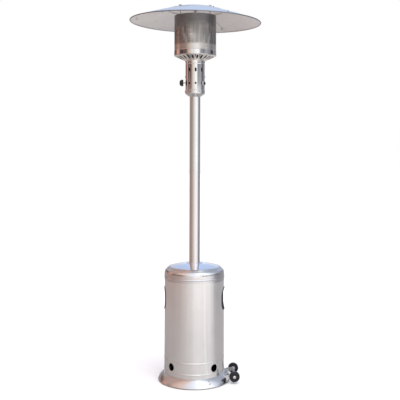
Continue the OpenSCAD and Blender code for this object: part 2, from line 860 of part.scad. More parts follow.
module head_shell() {
    color("silver") difference() {
        union() {
            translate([0, 0, head_z]) ring(head_r, head_r - head_wall, head_h - fit_gap);
            bead(head_r, head_top - neck_ring_h - head_bead_drop, head_bead_out, head_bead_half_h);
        }
        row_turns(lower_row_z) through_head() bar(hole_r, head_wall + 2 * over);
        row_turns(upper_row_z) through_head() oblong(slot_w, slot_h, 0, head_wall + 2 * over);
        rotate([0, 0, 180]) translate([0, 0, valve_z]) through_head() bar(stem_hole_r, head_wall + 2 * over);
        button_way() through_head() bar(igniter_r + fit_gap, head_wall + 2 * over);
        cup_screws_at() translate([-screw_len, 0, 0]) bar(screw_r + fit_gap, screw_len + over);
        bridge_screws_at() translate([-screw_len, 0, 0]) bar(screw_r + fit_gap, screw_len + over);
    }
}
module head_screws() {
    color("gray") {
        cup_screws_at() screw(screw_r, screw_len - over, screw_head_r, screw_head_h);
        bridge_screws_at() screw(screw_r, screw_len, screw_head_r, screw_head_h);
    }
}
module valve_bracket() {
    color("silver") difference() {
        union() {
            translate([-bridge_r, -bridge_end_w / 2, bridge_z - bridge_t])
                cube([2 * bridge_r, bridge_end_w, bridge_t]);
            translate([-bridge_w, -bridge_w, bridge_z - bridge_t])
                cube([2 * bridge_w, switch_y + switch_size[1] / 2 + bridge_w, bridge_t]);
            for (side = [0, 1]) mirror([side, 0, 0])
                translate([bridge_r - bridge_t, -bridge_end_w / 2, bridge_z - bridge_t])
                    cube([bridge_t, bridge_end_w, bridge_top_z - bridge_z]);
        }
        translate([0, 0, bridge_z - bridge_t - over]) cylinder(r = tube_r + fit_gap, h = bridge_t + 2 * over);
        translate([0, 0, valve_z]) rotate([0, 0, 180]) bar(stem_hole_r, 2 * head_r);
        bridge_screws_at() translate([-screw_len, 0, 0]) bar(screw_r + fit_gap, screw_len + over);
    }
}
valve_nose_x = valve_half[0] + valve_boss_l;
module valve_body() {
    color("goldenrod") difference() {
        union() {
            translate([0, 0, valve_z]) cube(2 * valve_half, center = true);
            translate([0, 0, valve_z - valve_half[2] - valve_port_h])
                cylinder(r = valve_port_r, h = 2 * (valve_half[2] + valve_port_h));
            translate([-valve_nose_x, 0, valve_z]) bar(valve_boss_r, valve_nose_x);
        }
        translate([-valve_nose_x - over, 0, valve_z])
            bar(plunger_r + run_gap, plunger_l + knob_travel + plunger_room + over);
    }
}
module valve_plunger() {
    color("goldenrod") translate([-valve_nose_x, 0, valve_z]) difference() {
        bar(plunger_r, plunger_l);
        translate([-over, 0, 0]) bar(stem_r + run_gap, stem_seat_l + run_gap + over);
    }
}
module valve_stem() {
    color("goldenrod") translate([-knob_x - knob_skirt_h, 0, valve_z])
        bar(stem_r, knob_x + knob_skirt_h - valve_nose_x + stem_seat_l);
}
module control_knob() {
    color("#181818") translate([-knob_x, 0, valve_z]) rotate([0, -90, 0]) difference() {
        union() {
            spun([[0, 0], [knob_r, 0], [knob_r, knob_skirt_h - knob_bevel],
                [knob_r - knob_bevel, knob_skirt_h], [knob_grip_r, knob_skirt_h],
                [knob_grip_r - knob_bevel, knob_skirt_h + knob_grip_h - knob_bar_h],
                [0, knob_skirt_h + knob_grip_h - knob_bar_h]]);
            translate([-knob_grip_r, -knob_bar_w / 2, knob_skirt_h])
                cube([2 * knob_grip_r, knob_bar_w, knob_grip_h]);
        }
        around(knob_flutes, 180 / knob_flutes) translate([knob_r + knob_flute_r / 3, 0, -over])
            cylinder(r = knob_flute_r, h = knob_skirt_h + 2 * over);
        translate([0, 0, -over]) cylinder(r = stem_r, h = knob_skirt_h + over);
    }
}
module button_way() {
    rotate([0, 0, button_turn]) translate([0, 0, lower_row_z]) children();
}
button_in_r = igniter_from_r + 2 * sheet_t + button_travel + over;
module igniter_body() {
    color("dimgray") button_way() translate([igniter_from_r, 0, 0]) difference() {
        bar(igniter_r, head_r + bezel_h / 2 - igniter_from_r);
        translate([2 * sheet_t, 0, 0]) bar(button_r + run_gap, head_r);
    }
}
module igniter_bezel() {
    color("silver") difference() {
        button_way() translate([head_r / 2, 0, 0]) difference() {
            bar(bezel_r, head_r / 2 + bezel_h);
            translate([-over, 0, 0]) bar(igniter_r + fit_gap, head_r / 2 + bezel_h / 2 + fit_gap + over);
            bar(button_r + slide_gap, head_r);
        }
        translate([0, 0, lower_row_z - head_r]) cylinder(r = head_r + run_gap, h = 2 * head_r);
    }
}
module igniter_button() {
    color("#181818") button_way() translate([button_in_r, 0, 0]) {
        bar(button_r, head_r + button_head - button_in_r);
        translate([head_r + button_head - button_in_r, 0, 0]) rotate([0, 90, 0])
            cylinder(r1 = button_r, r2 = button_r - knob_bevel, h = knob_bevel);
    }
}
module tilt_switch() {
    color("ivory") translate([-switch_size[0] / 2, switch_y - switch_size[1] / 2, bridge_z])
        cube(switch_size);
}

// Burner
valve_top = valve_z + valve_half[2] + valve_port_h;
module burner_jet() {
    color("goldenrod") translate([0, 0, valve_top]) difference() {
        union() {
            cylinder(r = jet_r, h = jet_h / 2, $fn = 6);
            cylinder(r = jet_r / 2, h = jet_h);
        }
        cylinder(r = jet_bore_r, h = jet_h + over);
    }
}
module mixing_tube() {
    foot = valve_top + jet_h / 2;
    path = [[mixer_r, foot], [mixer_r, foot + mixer_bell_h], [mixer_throat_r, foot + 2 * mixer_bell_h],
        [mixer_r, burner_z - fit_gap]];
    color("silver") difference() {
        union() {
            spun(sheet(path, mixer_wall));
            translate([0, 0, foot]) cylinder(r = mixer_r, h = mixer_leg);
        }
        translate([0, 0, foot - over]) cylinder(r = jet_r / 2 + run_gap, h = mixer_leg + 2 * over);
        around(foot_count) translate([0, 0, foot + mixer_bell_h / 2]) bar(mixer_port_r, 2 * mixer_r);
    }
}
module burner_head() {
    in_r = burner_r - burner_wall;
    color("gray") translate([0, 0, burner_z]) difference() {
        cylinder(r = burner_r, h = burner_h);
        translate([0, 0, burner_wall]) cylinder(r = in_r, h = burner_h - 2 * burner_wall);
        translate([0, 0, -over]) cylinder(r = mixer_r - mixer_wall, h = burner_wall + 2 * over);
        around(burner_port_count) translate([in_r - over, 0, burner_h / 2])
            bar(burner_port_r, burner_wall + 2 * over);
    }
}
// Children are placed in the upright plane that holds the pilot, on a line side steps from it
module pilot_line(side) {
    rotate([0, 0, pilot_turn]) translate([0, side * pilot_gap_y, 0]) children();
}
// The way of a lead from its first point up through the head and out under the burner to the pilot
function lead_points(first) = [first, [lead_x, 0, first[2] + lead_drop],
    [lead_x, 0, pan_neck_z - lead_drop / 3], [pilot_x, 0, pilot_z - 2 * lead_drop], [pilot_x, 0, pilot_z]];
module valve_room() {
    translate([0, 0, valve_z]) cube(2 * (valve_half + run_gap * [1, 1, 1]), center = true);
}
module pilot_tube() {
    color("goldenrod") difference() {
        pilot_line(0) tube_run(lead_points([valve_half[1], 0, valve_z]), pilot_tube_r);
        valve_room();
    }
}
module thermocouple() {
    color("peru") difference() {
        pilot_line(1) {
            tube_run(lead_points([valve_half[1] / 2, 0, valve_z]), probe_r);
            translate([pilot_x, 0, pilot_z - over]) cylinder(r = probe_r * elbow_share, h = probe_tip_h);
        }
        valve_room();
    }
}
module spark_electrode() {
    side_turn = button_turn - pilot_turn;
    first = [lead_x * cos(side_turn), lead_x * sin(side_turn) + pilot_gap_y, lower_row_z];
    color("ivory") difference() {
        pilot_line(-1) {
            tube_run(lead_points(first), electrode_r);
            translate([pilot_x, 0, pilot_z - over]) cylinder(r = electrode_r * elbow_share, h = probe_tip_h);
            translate([pilot_x, 0, pilot_z - ceramic_h / 3]) cylinder(r = ceramic_r, h = ceramic_h);
        }
        button_way() translate([igniter_from_r - over, 0, 0]) bar(igniter_r + run_gap, head_r);
    }
}
module pilot_burner() {
    color("silver") pilot_line(0) translate([pilot_x, 0, pilot_z]) difference() {
        union() {
            cylinder(r = hood_r, h = hood_h);
            translate([burner_r + fit_gap - pilot_x, -hood_r / 2, 0])
                cube([pilot_x - burner_r - fit_gap, hood_r, sheet_t]);
        }
        translate([0, 0, hood_h / 2]) cylinder(r = hood_r - sheet_t, h = hood_h);
        translate([0, 0, hood_h / 2]) bar(hood_r / 2, 2 * hood_r);
    }
}
function pan_at(share) = mixed([pan_neck_r, pan_neck_z], [pan_r, pan_rim_z], share);
module burner_pan() {
    path = [[pan_neck_r, pan_z], [pan_neck_r, pan_neck_z], [pan_r, pan_rim_z]];
    lean = atan2(pan_rim_z - pan_neck_z, pan_r - pan_neck_r);
    from = norm(pan_at(pan_slot_from_share) - pan_at(0)) + pan_slot_w / 2;
    to = norm(pan_at(pan_slot_to_share) - pan_at(0)) - pan_slot_w / 2;
    color("silver") difference() {
        union() {
            spun(sheet(path, pan_wall));
            translate([0, 0, pan_rim_z - pan_wall])
                ring(upstand_r, upstand_r - pan_wall, upstand_h + pan_wall);
        }
        around(pan_slots, 180 / pan_slots) translate([pan_neck_r, 0, pan_neck_z]) rotate([0, -lean, 0])
            translate([0, 0, -pan_slot_w]) {
                translate([from, 0, 0]) cylinder(r = pan_slot_w / 2, h = 2 * pan_slot_w);
                translate([to, 0, 0]) cylinder(r = pan_slot_w / 2, h = 2 * pan_slot_w);
                translate([from, -pan_slot_w / 2, 0]) cube([to - from, pan_slot_w, 2 * pan_slot_w]);
            }
    }
}
module sights_at() {
    around(sight_count, sight_first) translate([pan_r / 2, 0, band_z + band_h / 2]) children();
}
module burner_band() {
    color("lightsteelblue") difference() {
        translate([0, 0, band_z]) ring(pan_r, pan_r - band_wall, band_h);
        sights_at() oblong(sight_w, sight_h, 0, pan_r);
    }
}
module emitter_screen() {
    color("gray") difference() {
        translate([0, 0, emitter_z]) ring(emitter_r, emitter_r - emitter_wall, emitter_h);
        sights_at() oblong(sight_w, sight_h, 0, pan_r);
    }
}
module studs_at() {
    around(stud_count, stud_first) translate([stud_ring_r, 0, 0]) children();
}
top_r = emitter_r - emitter_wall - run_gap;
module top_plate() {
    color("gray") difference() {
        translate([0, 0, emitter_top - top_lip_h]) cylinder(r = top_r, h = top_lip_h);
        translate([0, 0, emitter_top - top_lip_h - over])
            cylinder(r = top_r - top_t, h = top_lip_h - top_t + over);
        studs_at() translate([0, 0, emitter_top - top_lip_h]) cylinder(r = stud_r, h = top_lip_h + over);
    }
}

// Reflector. The nuts on the studs stand at the heights that its tilt asks for.
function stud_turn(i) = stud_first + i * 360 / stud_count;
function seat_z(i, z) = tilted_z(stud_ring_r, stud_turn(i), z);
module each_stud() {
    for (i = [0 : stud_count - 1]) rotate([0, 0, stud_turn(i)]) translate([stud_ring_r, 0, 0]) {
        $stud = i;
        children();
    }
}
crown_seat = crown_top(stud_ring_r);
module reflector_studs() {
    foot = emitter_top - top_lip_h;
    color("silver") each_stud() translate([0, 0, foot])
        cylinder(r = stud_r, h = seat_z($stud, crown_seat) + washer_t + nut_h + stud_tail - foot);
}
slope_rise = fit_gap + washer_r * (tilt_pull + 2 * crown_rise * stud_ring_r / (crown_r * crown_r));
module reflector_nuts() {
    color("silver") each_stud() {
        low = seat_z($stud, crown_seat - reflector_t) - slope_rise;
        high = seat_z($stud, crown_seat) + slope_rise;
        difference() {
            union() {
                translate([0, 0, low - washer_t]) cylinder(r = washer_r, h = washer_t);
                translate([0, 0, low - washer_t - nut_h]) cylinder(r = nut_r, h = nut_h, $fn = 6);
            }
            translate([0, 0, low - washer_t - nut_h - over])
                cylinder(r = stud_r, h = nut_h + washer_t + 2 * over);
        }
        difference() {
            union() {
                translate([0, 0, high]) cylinder(r = washer_r, h = washer_t);
                translate([0, 0, high + washer_t]) cylinder(r = nut_r, h = nut_h, $fn = 6);
            }
            translate([0, 0, high - over]) cylinder(r = stud_r, h = nut_h + washer_t + 2 * over);
        }
    }
}
module seam_turns() {
    around(panel_count, panel_first) children();
}
module seam_bolts_at() {
    seam_turns() for (share = seam_bolt_shares)
        rotate([0, 0, lap_angle / 2]) on_face(panel_at(share), panel_lean(share)) children();
}
module crown_bolts_at() {
    around(panel_count, panel_first + crown_bolt_turn)
        on_face([crown_bolt_r, crown_top(crown_bolt_r)], crown_lean(crown_bolt_r)) children();
}
module reflector_panel(i) {
    span = 360 / panel_count;
    path = panel_path();
    lap = [for (i = [1 : panel_steps]) path[i]];
    color("whitesmoke") tilted() difference() {
        rotate([0, 0, panel_first + i * span]) {
            rotate_extrude(angle = span - seam_gap_angle) polygon(sheet(path, reflector_t));
            rotate_extrude(angle = span - seam_gap_angle)
                translate([reflector_r - rim_roll_r, rim_z + rim_roll_r]) circle(r = rim_roll_r, $fn = 24);
            rotate([0, 0, span - lap_angle]) rotate_extrude(angle = 2 * lap_angle)
                polygon(sheet(moved(lap, reflector_t + fit_gap), reflector_t));
            rotate([0, 0, span - lap_angle]) rotate_extrude(angle = lap_angle - 2 * seam_gap_angle)
                polygon(sheet(moved(lap, reflector_t / 2), reflector_t + fit_gap));
        }
        seam_bolts_at() translate([-over - 3 * reflector_t, 0, 0])
            bar(bolt_r + bolt_hole_gap, 2 * over + 3 * reflector_t);
        crown_bolts_at() translate([-crown_grip - 2 * over, 0, 0])
            bar(bolt_r + bolt_hole_gap, crown_grip + 3 * over);
    }
}
module reflector_crown() {
    radii = [for (i = [0 : crown_steps]) mixed(crown_r, crown_flat_r, i / crown_steps)];
    path = concat([for (r = radii) [r, crown_top(r)]], [[0, crown_top(crown_flat_r)]]);
    color("whitesmoke") tilted() difference() {
        rotate([0, 0, crown_seam_turn]) spun(concat(path, [for (p = reversed(path)) p - [0, reflector_t]]));
        studs_at() translate([0, 0, joint_z]) cylinder(r = stud_hole_r, h = 2 * crown_rise);
        crown_bolts_at() translate([-crown_grip - 2 * over, 0, 0])
            bar(bolt_r + bolt_hole_gap, crown_grip + 3 * over);
    }
}
// A bolt through sheets, with a cap nut on their outer face
module sheet_bolt(grip) {
    bar(bolt_head_r, bolt_head_h);
    translate([bolt_head_h, 0, 0]) rotate([0, 90, 0])
        cylinder(r1 = bolt_head_r, r2 = bolt_head_r / 2, h = bolt_dome_h);
    translate([-grip - bolt_nut_h - bolt_tail, 0, 0]) bar(bolt_r, grip + bolt_nut_h + bolt_tail);
    translate([-grip - bolt_nut_h, 0, 0]) rotate([0, 90, 0])
        cylinder(r = bolt_head_r, h = bolt_nut_h, $fn = 6);
}
module seam_bolts() {
    color("gray") tilted() seam_bolts_at() translate([fit_gap, 0, 0])
        sheet_bolt(2 * reflector_t + 3 * fit_gap);
}
module crown_bolts() {
    color("gray") tilted() crown_bolts_at() translate([fit_gap, 0, 0]) sheet_bolt(crown_grip);
}

base_plate();
base_flare();
base_feet();
base_screws();
support_leg(0);  // support_leg_1
support_leg(1);  // support_leg_2
support_leg(2);  // support_leg_3
leg_bolts();
flange_bolts();
post_flange();
post();
post_screws();
gas_tube();
gas_inlet();
tube_grommet();
wheel_bracket();
bracket_screws();
axle();
axle_caps();
wheel_front();
wheel_back();
housing_shell();
housing_lid();
lid_collar();
hand_hole_trims();
lid_rivets();
head_cup();
head_plate();
head_shell();
head_screws();
valve_bracket();
valve_body();
valve_plunger();
valve_stem();
control_knob();
igniter_body();
igniter_bezel();
igniter_button();
tilt_switch();
burner_jet();
mixing_tube();
burner_head();
pilot_tube();
thermocouple();
spark_electrode();
pilot_burner();
burner_pan();
burner_band();
emitter_screen();
top_plate();
reflector_studs();
reflector_nuts();
reflector_panel(0);  // reflector_panel_1
reflector_panel(1);  // reflector_panel_2
reflector_panel(2);  // reflector_panel_3
reflector_crown();
seam_bolts();
crown_bolts();
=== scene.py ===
import json
import math
import bpy
import bmesh
import numpy as np
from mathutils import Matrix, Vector


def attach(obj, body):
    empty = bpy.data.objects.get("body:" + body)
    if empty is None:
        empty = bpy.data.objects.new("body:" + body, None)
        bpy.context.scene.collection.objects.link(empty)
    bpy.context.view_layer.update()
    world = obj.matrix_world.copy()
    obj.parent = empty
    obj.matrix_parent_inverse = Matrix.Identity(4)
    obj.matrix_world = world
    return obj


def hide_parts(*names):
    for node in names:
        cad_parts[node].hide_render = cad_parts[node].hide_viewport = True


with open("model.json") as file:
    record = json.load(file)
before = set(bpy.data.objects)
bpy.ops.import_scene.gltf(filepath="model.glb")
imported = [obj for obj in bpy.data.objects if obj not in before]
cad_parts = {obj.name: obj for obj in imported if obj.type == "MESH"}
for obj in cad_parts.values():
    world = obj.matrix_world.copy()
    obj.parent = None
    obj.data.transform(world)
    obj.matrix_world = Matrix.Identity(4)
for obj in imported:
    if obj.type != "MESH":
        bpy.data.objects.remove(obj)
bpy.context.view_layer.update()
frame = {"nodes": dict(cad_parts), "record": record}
record = frame["record"]
mm = 0.001
print("frame loaded:", len(frame["nodes"]), "solids of a gas patio heater")

# Camera: level, at the photograph's eye height; its frame is shifted down to hold the whole heater
view = {
    "distance": 4.462,     # from the post to the lens
    "height": 1.4105,
    "side": 0.0307,
    "roll": -0.2,          # degrees
    "lens": 66.8,
    "sensor": 36.0,
    "shift": -0.14,        # share of the frame's width
}


def makeCamera():
    # Along +Y from the front, rolled a little about the line of sight
    data = bpy.data.cameras.new("camera")
    data.lens = view["lens"]
    data.sensor_width = view["sensor"]
    data.shift_y = view["shift"]
    camera = bpy.data.objects.new("camera", data)
    bpy.context.scene.collection.objects.link(camera)
    camera.location = (view["side"], -view["distance"], view["height"])
    camera.rotation_euler = (math.radians(90), math.radians(view["roll"]), 0)
    bpy.context.scene.camera = camera


class Wire:
    # One socket of a node tree, so that shader maths reads as plain Python

    def __init__(self, tree, socket=None):
        self.tree = tree
        self.socket = socket

    def node(self, kind, settings=None, inputs=None, out=0):
        made = self.tree.nodes.new(kind)
        for key, value in (settings or {}).items():
            if key == "stops":
                setStops(made.color_ramp, value)
            else:
                setattr(made, key, value)
        for key, value in (inputs or {}).items():
            if isinstance(value, Wire):
                self.tree.links.new(value.socket, made.inputs[key])
            else:
                made.inputs[key].default_value = value
        return Wire(self.tree, made.outputs[out] if made.outputs else None)

    def maths(self, operation, *values):
        return self.node("ShaderNodeMath", {"operation": operation}, dict(enumerate(values)))

    def __add__(self, other):
        return self.maths("ADD", self, other)

    def __radd__(self, other):
        return self.maths("ADD", other, self)

    def __sub__(self, other):
        return self.maths("SUBTRACT", self, other)

    def __rsub__(self, other):
        return self.maths("SUBTRACT", other, self)

    def __mul__(self, other):
        return self.maths("MULTIPLY", self, other)

    def __rmul__(self, other):
        return self.maths("MULTIPLY", other, self)

    def __truediv__(self, other):
        return self.maths("DIVIDE", self, other)

    def __rtruediv__(self, other):
        return self.maths("DIVIDE", other, self)

    def part(self, index):
        return self.node("ShaderNodeSeparateXYZ", None, {0: self}, index)

    def between(self, low, high, start=0.0, end=1.0):
        # Smooth step from start to end while the value goes from low to high
        settings = {"interpolation_type": "SMOOTHSTEP"}
        inputs = {0: self, 1: low, 2: high, 3: start, 4: end}
        return self.node("ShaderNodeMapRange", settings, inputs)

    def tint(self, dark, light):
        # Colour from dark at 0 to light at 1
        inputs = {0: self, 6: (*dark, 1), 7: (*light, 1)}
        return self.node("ShaderNodeMix", {"data_type": "RGBA"}, inputs, 2)


def setStops(ramp, stops):
    # Places from 0 to 1 and their colours, eased from one to the next
    ramp.interpolation = "EASE"
    while len(ramp.elements) < len(stops):
        ramp.elements.new(0.5)
    for element, (place, colour) in zip(ramp.elements, stops):
        element.position = place
        element.color = (*colour, 1)


# What the metal mirrors, by the turn in degrees from the front: at the level of the eye a warm wall
# on the left, a bright terrace in front and a dark door on the right; over it dark eaves; above
# them the sky. Below it the ground goes on in the colours of the lowest band.
surroundings = {
    "low": [(-180, (0.66, 0.65, 0.64)), (-168, (0.50, 0.47, 0.46)), (-150, (0.40, 0.33, 0.30)),
            (-90, (0.40, 0.295, 0.26)), (-60, (0.47, 0.36, 0.32)), (-40, (0.62, 0.54, 0.50)),
            (-14, (0.80, 0.78, 0.76)), (4, (1.08, 1.07, 1.05)), (34, (1.16, 1.15, 1.14)),
            (56, (1.08, 1.08, 1.08)), (72, (0.76, 0.77, 0.79)), (84, (0.32, 0.33, 0.35)),
            (104, (0.26, 0.27, 0.30)), (134, (0.34, 0.34, 0.36)), (165, (0.58, 0.58, 0.59)),
            (180, (0.66, 0.65, 0.64))],
    "mid": [(-180, (0.86, 0.95, 1.16)), (-162, (0.40, 0.34, 0.33)), (-131, (0.11, 0.07, 0.06)),
            (-111, (0.74, 0.37, 0.28)), (-101, (0.72, 0.36, 0.28)), (-88, (0.06, 0.065, 0.065)),
            (-74, (0.30, 0.21, 0.19)), (-62, (0.15, 0.09, 0.085)), (-48, (0.22, 0.12, 0.10)),
            (-36, (0.64, 0.50, 0.39)), (-14, (0.90, 0.87, 0.84)), (8, (1.18, 1.17, 1.13)),
            (19, (1.24, 1.23, 1.22)), (30, (0.46, 0.45, 0.47)), (40, (0.22, 0.22, 0.23)),
            (62, (0.44, 0.43, 0.44)), (84, (0.30, 0.29, 0.31)), (100, (0.09, 0.08, 0.10)),
            (116, (0.34, 0.33, 0.34)), (134, (0.26, 0.26, 0.28)),
            (160, (0.42, 0.44, 0.50)), (180, (0.86, 0.95, 1.16))],
    "high": [(-180, (0.62, 0.77, 1.09)), (-152, (0.50, 0.50, 0.60)), (-130, (0.48, 0.35, 0.29)),
             (-105, (0.55, 0.38, 0.35)), (-86, (0.52, 0.37, 0.31)), (-66, (0.82, 0.57, 0.48)),
             (-42, (0.95, 0.73, 0.64)), (-24, (0.94, 0.93, 1.00)), (-2, (1.05, 1.09, 1.22)),
             (20, (1.36, 1.40, 1.47)), (62, (1.34, 1.38, 1.45)), (81, (0.83, 0.90, 1.00)),
             (100, (0.48, 0.51, 0.61)), (130, (0.40, 0.42, 0.50)), (156, (0.50, 0.58, 0.80)),
             (180, (0.62, 0.77, 1.09))],
    "eaves": (0.045, 0.10),     # sines of the elevation
    "sky": (0.19, 0.42),
    "sunTurn": 39.5,
    "sunHalfWidth": 1.3,
    "sunCore": 0.3,             # share of the half width that has the whole gain
    "sunGain": 2.6,
    "backdrop": (1.0, 1.0, 1.0),
}


def roundAbout(x, y, name):
    # Colour of one band at the turn atan2(x, -y), counted from behind as a share of the round
    turn = x.maths("ARCTAN2", x, y * -1.0) / math.tau + 0.5
    stops = [(0.5 + degrees / 360, colour) for degrees, colour in surroundings[name]]
    return turn.node("ShaderNodeValToRGB", {"stops": stops}, {0: turn}), turn


def sunShare(turn, gain):
    # The gain in a narrow upright strip at the sun's turn, fading to 1 beside it
    off = turn - (0.5 + surroundings["sunTurn"] / 360)
    width = surroundings["sunHalfWidth"] / 360
    return off.maths("ABSOLUTE", off).between(surroundings["sunCore"] * width, width, gain, 1.0)


def blend(share, first, second):
    # (1 - share) first + share second
    return share.node("ShaderNodeMix", {"data_type": "RGBA"}, {0: share, 6: first, 7: second}, 2)


def makeSurroundings():
    # Colour by the turn and the elevation of the ray; the camera itself sees a plain pale backdrop
    world = bpy.data.worlds.new("studio")
    bpy.context.scene.world = world
    world.use_nodes = True
    tree = world.node_tree
    tree.nodes.clear()
    ray = Wire(tree).node("ShaderNodeTexCoord")
    x, y, z = (ray.part(axis) for axis in range(3))
    low, turn = roundAbout(x, y, "low")
    mid = roundAbout(x, y, "mid")[0]
    high = roundAbout(x, y, "high")[0]
    seen = blend(z.between(*surroundings["eaves"]), low, mid)
    seen = blend(z.between(*surroundings["sky"]), seen, high)
    sunlit = sunShare(turn, surroundings["sunGain"])
    mirrored = turn.node("ShaderNodeBackground", None, {0: seen, 1: sunlit})
    plain = turn.node("ShaderNodeBackground", None, {0: (*surroundings["backdrop"], 1), 1: 1.0})
    straight = turn.node("ShaderNodeLightPath")
    both = turn.node("ShaderNodeMixShader", None, {0: straight, 1: mirrored, 2: plain})
    turn.node("ShaderNodeOutputWorld", None, {0: both})


# Two wide soft lights from far off: one straight from above, one over the camera's right shoulder.
# The metal mirrors the surroundings and not these lights.
lights = {
    "overhead": {"from": (0.0, 0.0, 1.0), "strength": 1.5, "spread": 70, "colour": (1.0, 0.99, 0.98)},
    "front": {"from": (0.45, -1.0, 0.75), "strength": 0.6, "spread": 50, "colour": (1.0, 0.98, 0.96)},
}
# The floor is pale for the camera; in the metal it shows as the ground of the terrace: in the
# colours of the lowest band far out, and as grey stone near the heater
ground = {
    "side": 60.0,
    "pale": (0.93, 0.93, 0.93),
    "near": 1.0,               # radii between which the stone gives way to the band's colours
    "far": 4.0,
    "stone": ((0.285, 0.272, 0.262), (0.85, 0.85, 0.835)),      # where the band is dark and light
    "brightest": 2.4,          # the band's light, with the sun's glint, that gives the light stone
    "glint": 2.8,
    "shade": (0.77, 0.75, 0.72),
}


def makeStage():
    # The two lights aim at the origin; the floor is one square face
    for name, lamp in lights.items():
        data = bpy.data.lights.new(name, "SUN")
        data.energy = lamp["strength"]
        data.angle = math.radians(lamp["spread"])
        data.color = lamp["colour"]
        light = bpy.data.objects.new(name, data)
        bpy.context.scene.collection.objects.link(light)
        light.rotation_euler = Vector(lamp["from"]).to_track_quat("Z", "Y").to_euler()
        light.visible_glossy = False
    half = ground["side"] / 2
    mesh = bpy.data.meshes.new("floor")
    mesh.from_pydata([(-half, -half, 0), (half, -half, 0), (half, half, 0), (-half, half, 0)], [],
                     [(0, 1, 2, 3)])
    floor = bpy.data.objects.new("floor", mesh)
    bpy.context.scene.collection.objects.link(floor)
    material, shader, start = newMaterial("floorPaint")
    pale = start.node("ShaderNodeRGB")
    pale.socket.default_value = (*ground["pale"], 1)
    around, turn = roundAbout(start.part(0), start.part(1), "low")
    # The stone is lighter where the band is light, with a painted sun glint in a narrow strip at the
    # sun's turn
    light = around.node("ShaderNodeRGBToBW", None, {0: around}) * sunShare(turn, ground["glint"])
    grey = light.between(0.0, ground["brightest"]).tint(*ground["stone"])
    far = fromAxis(start).between(ground["near"], ground["far"])
    mirrored = blend(far, grey, shaded(around, 1.0, ground["shade"]))
    join(blend(start.node("ShaderNodeLightPath"), mirrored, pale), shader, "Base Color")
    shader.inputs["Roughness"].default_value = 1.0
    shader.inputs["Specular IOR Level"].default_value = 0.0
    mesh.materials.append(material)


def newMaterial(name):
    # A material, its shader, and a wire with the object coordinates
    material = bpy.data.materials.new(name)
    material.use_nodes = True
    tree = material.node_tree
    shader = tree.nodes["Principled BSDF"]
    return material, shader, Wire(tree).node("ShaderNodeTexCoord", None, None, 3)


def join(wire, shader, name):
    # The wire feeds the shader's input of that name
    wire.tree.links.new(wire.socket, shader.inputs[name])


def fromAxis(start):
    # Distance of the object coordinates from the Z axis
    x, y = start.part(0), start.part(1)
    return start.maths("SQRT", x * x + y * y)


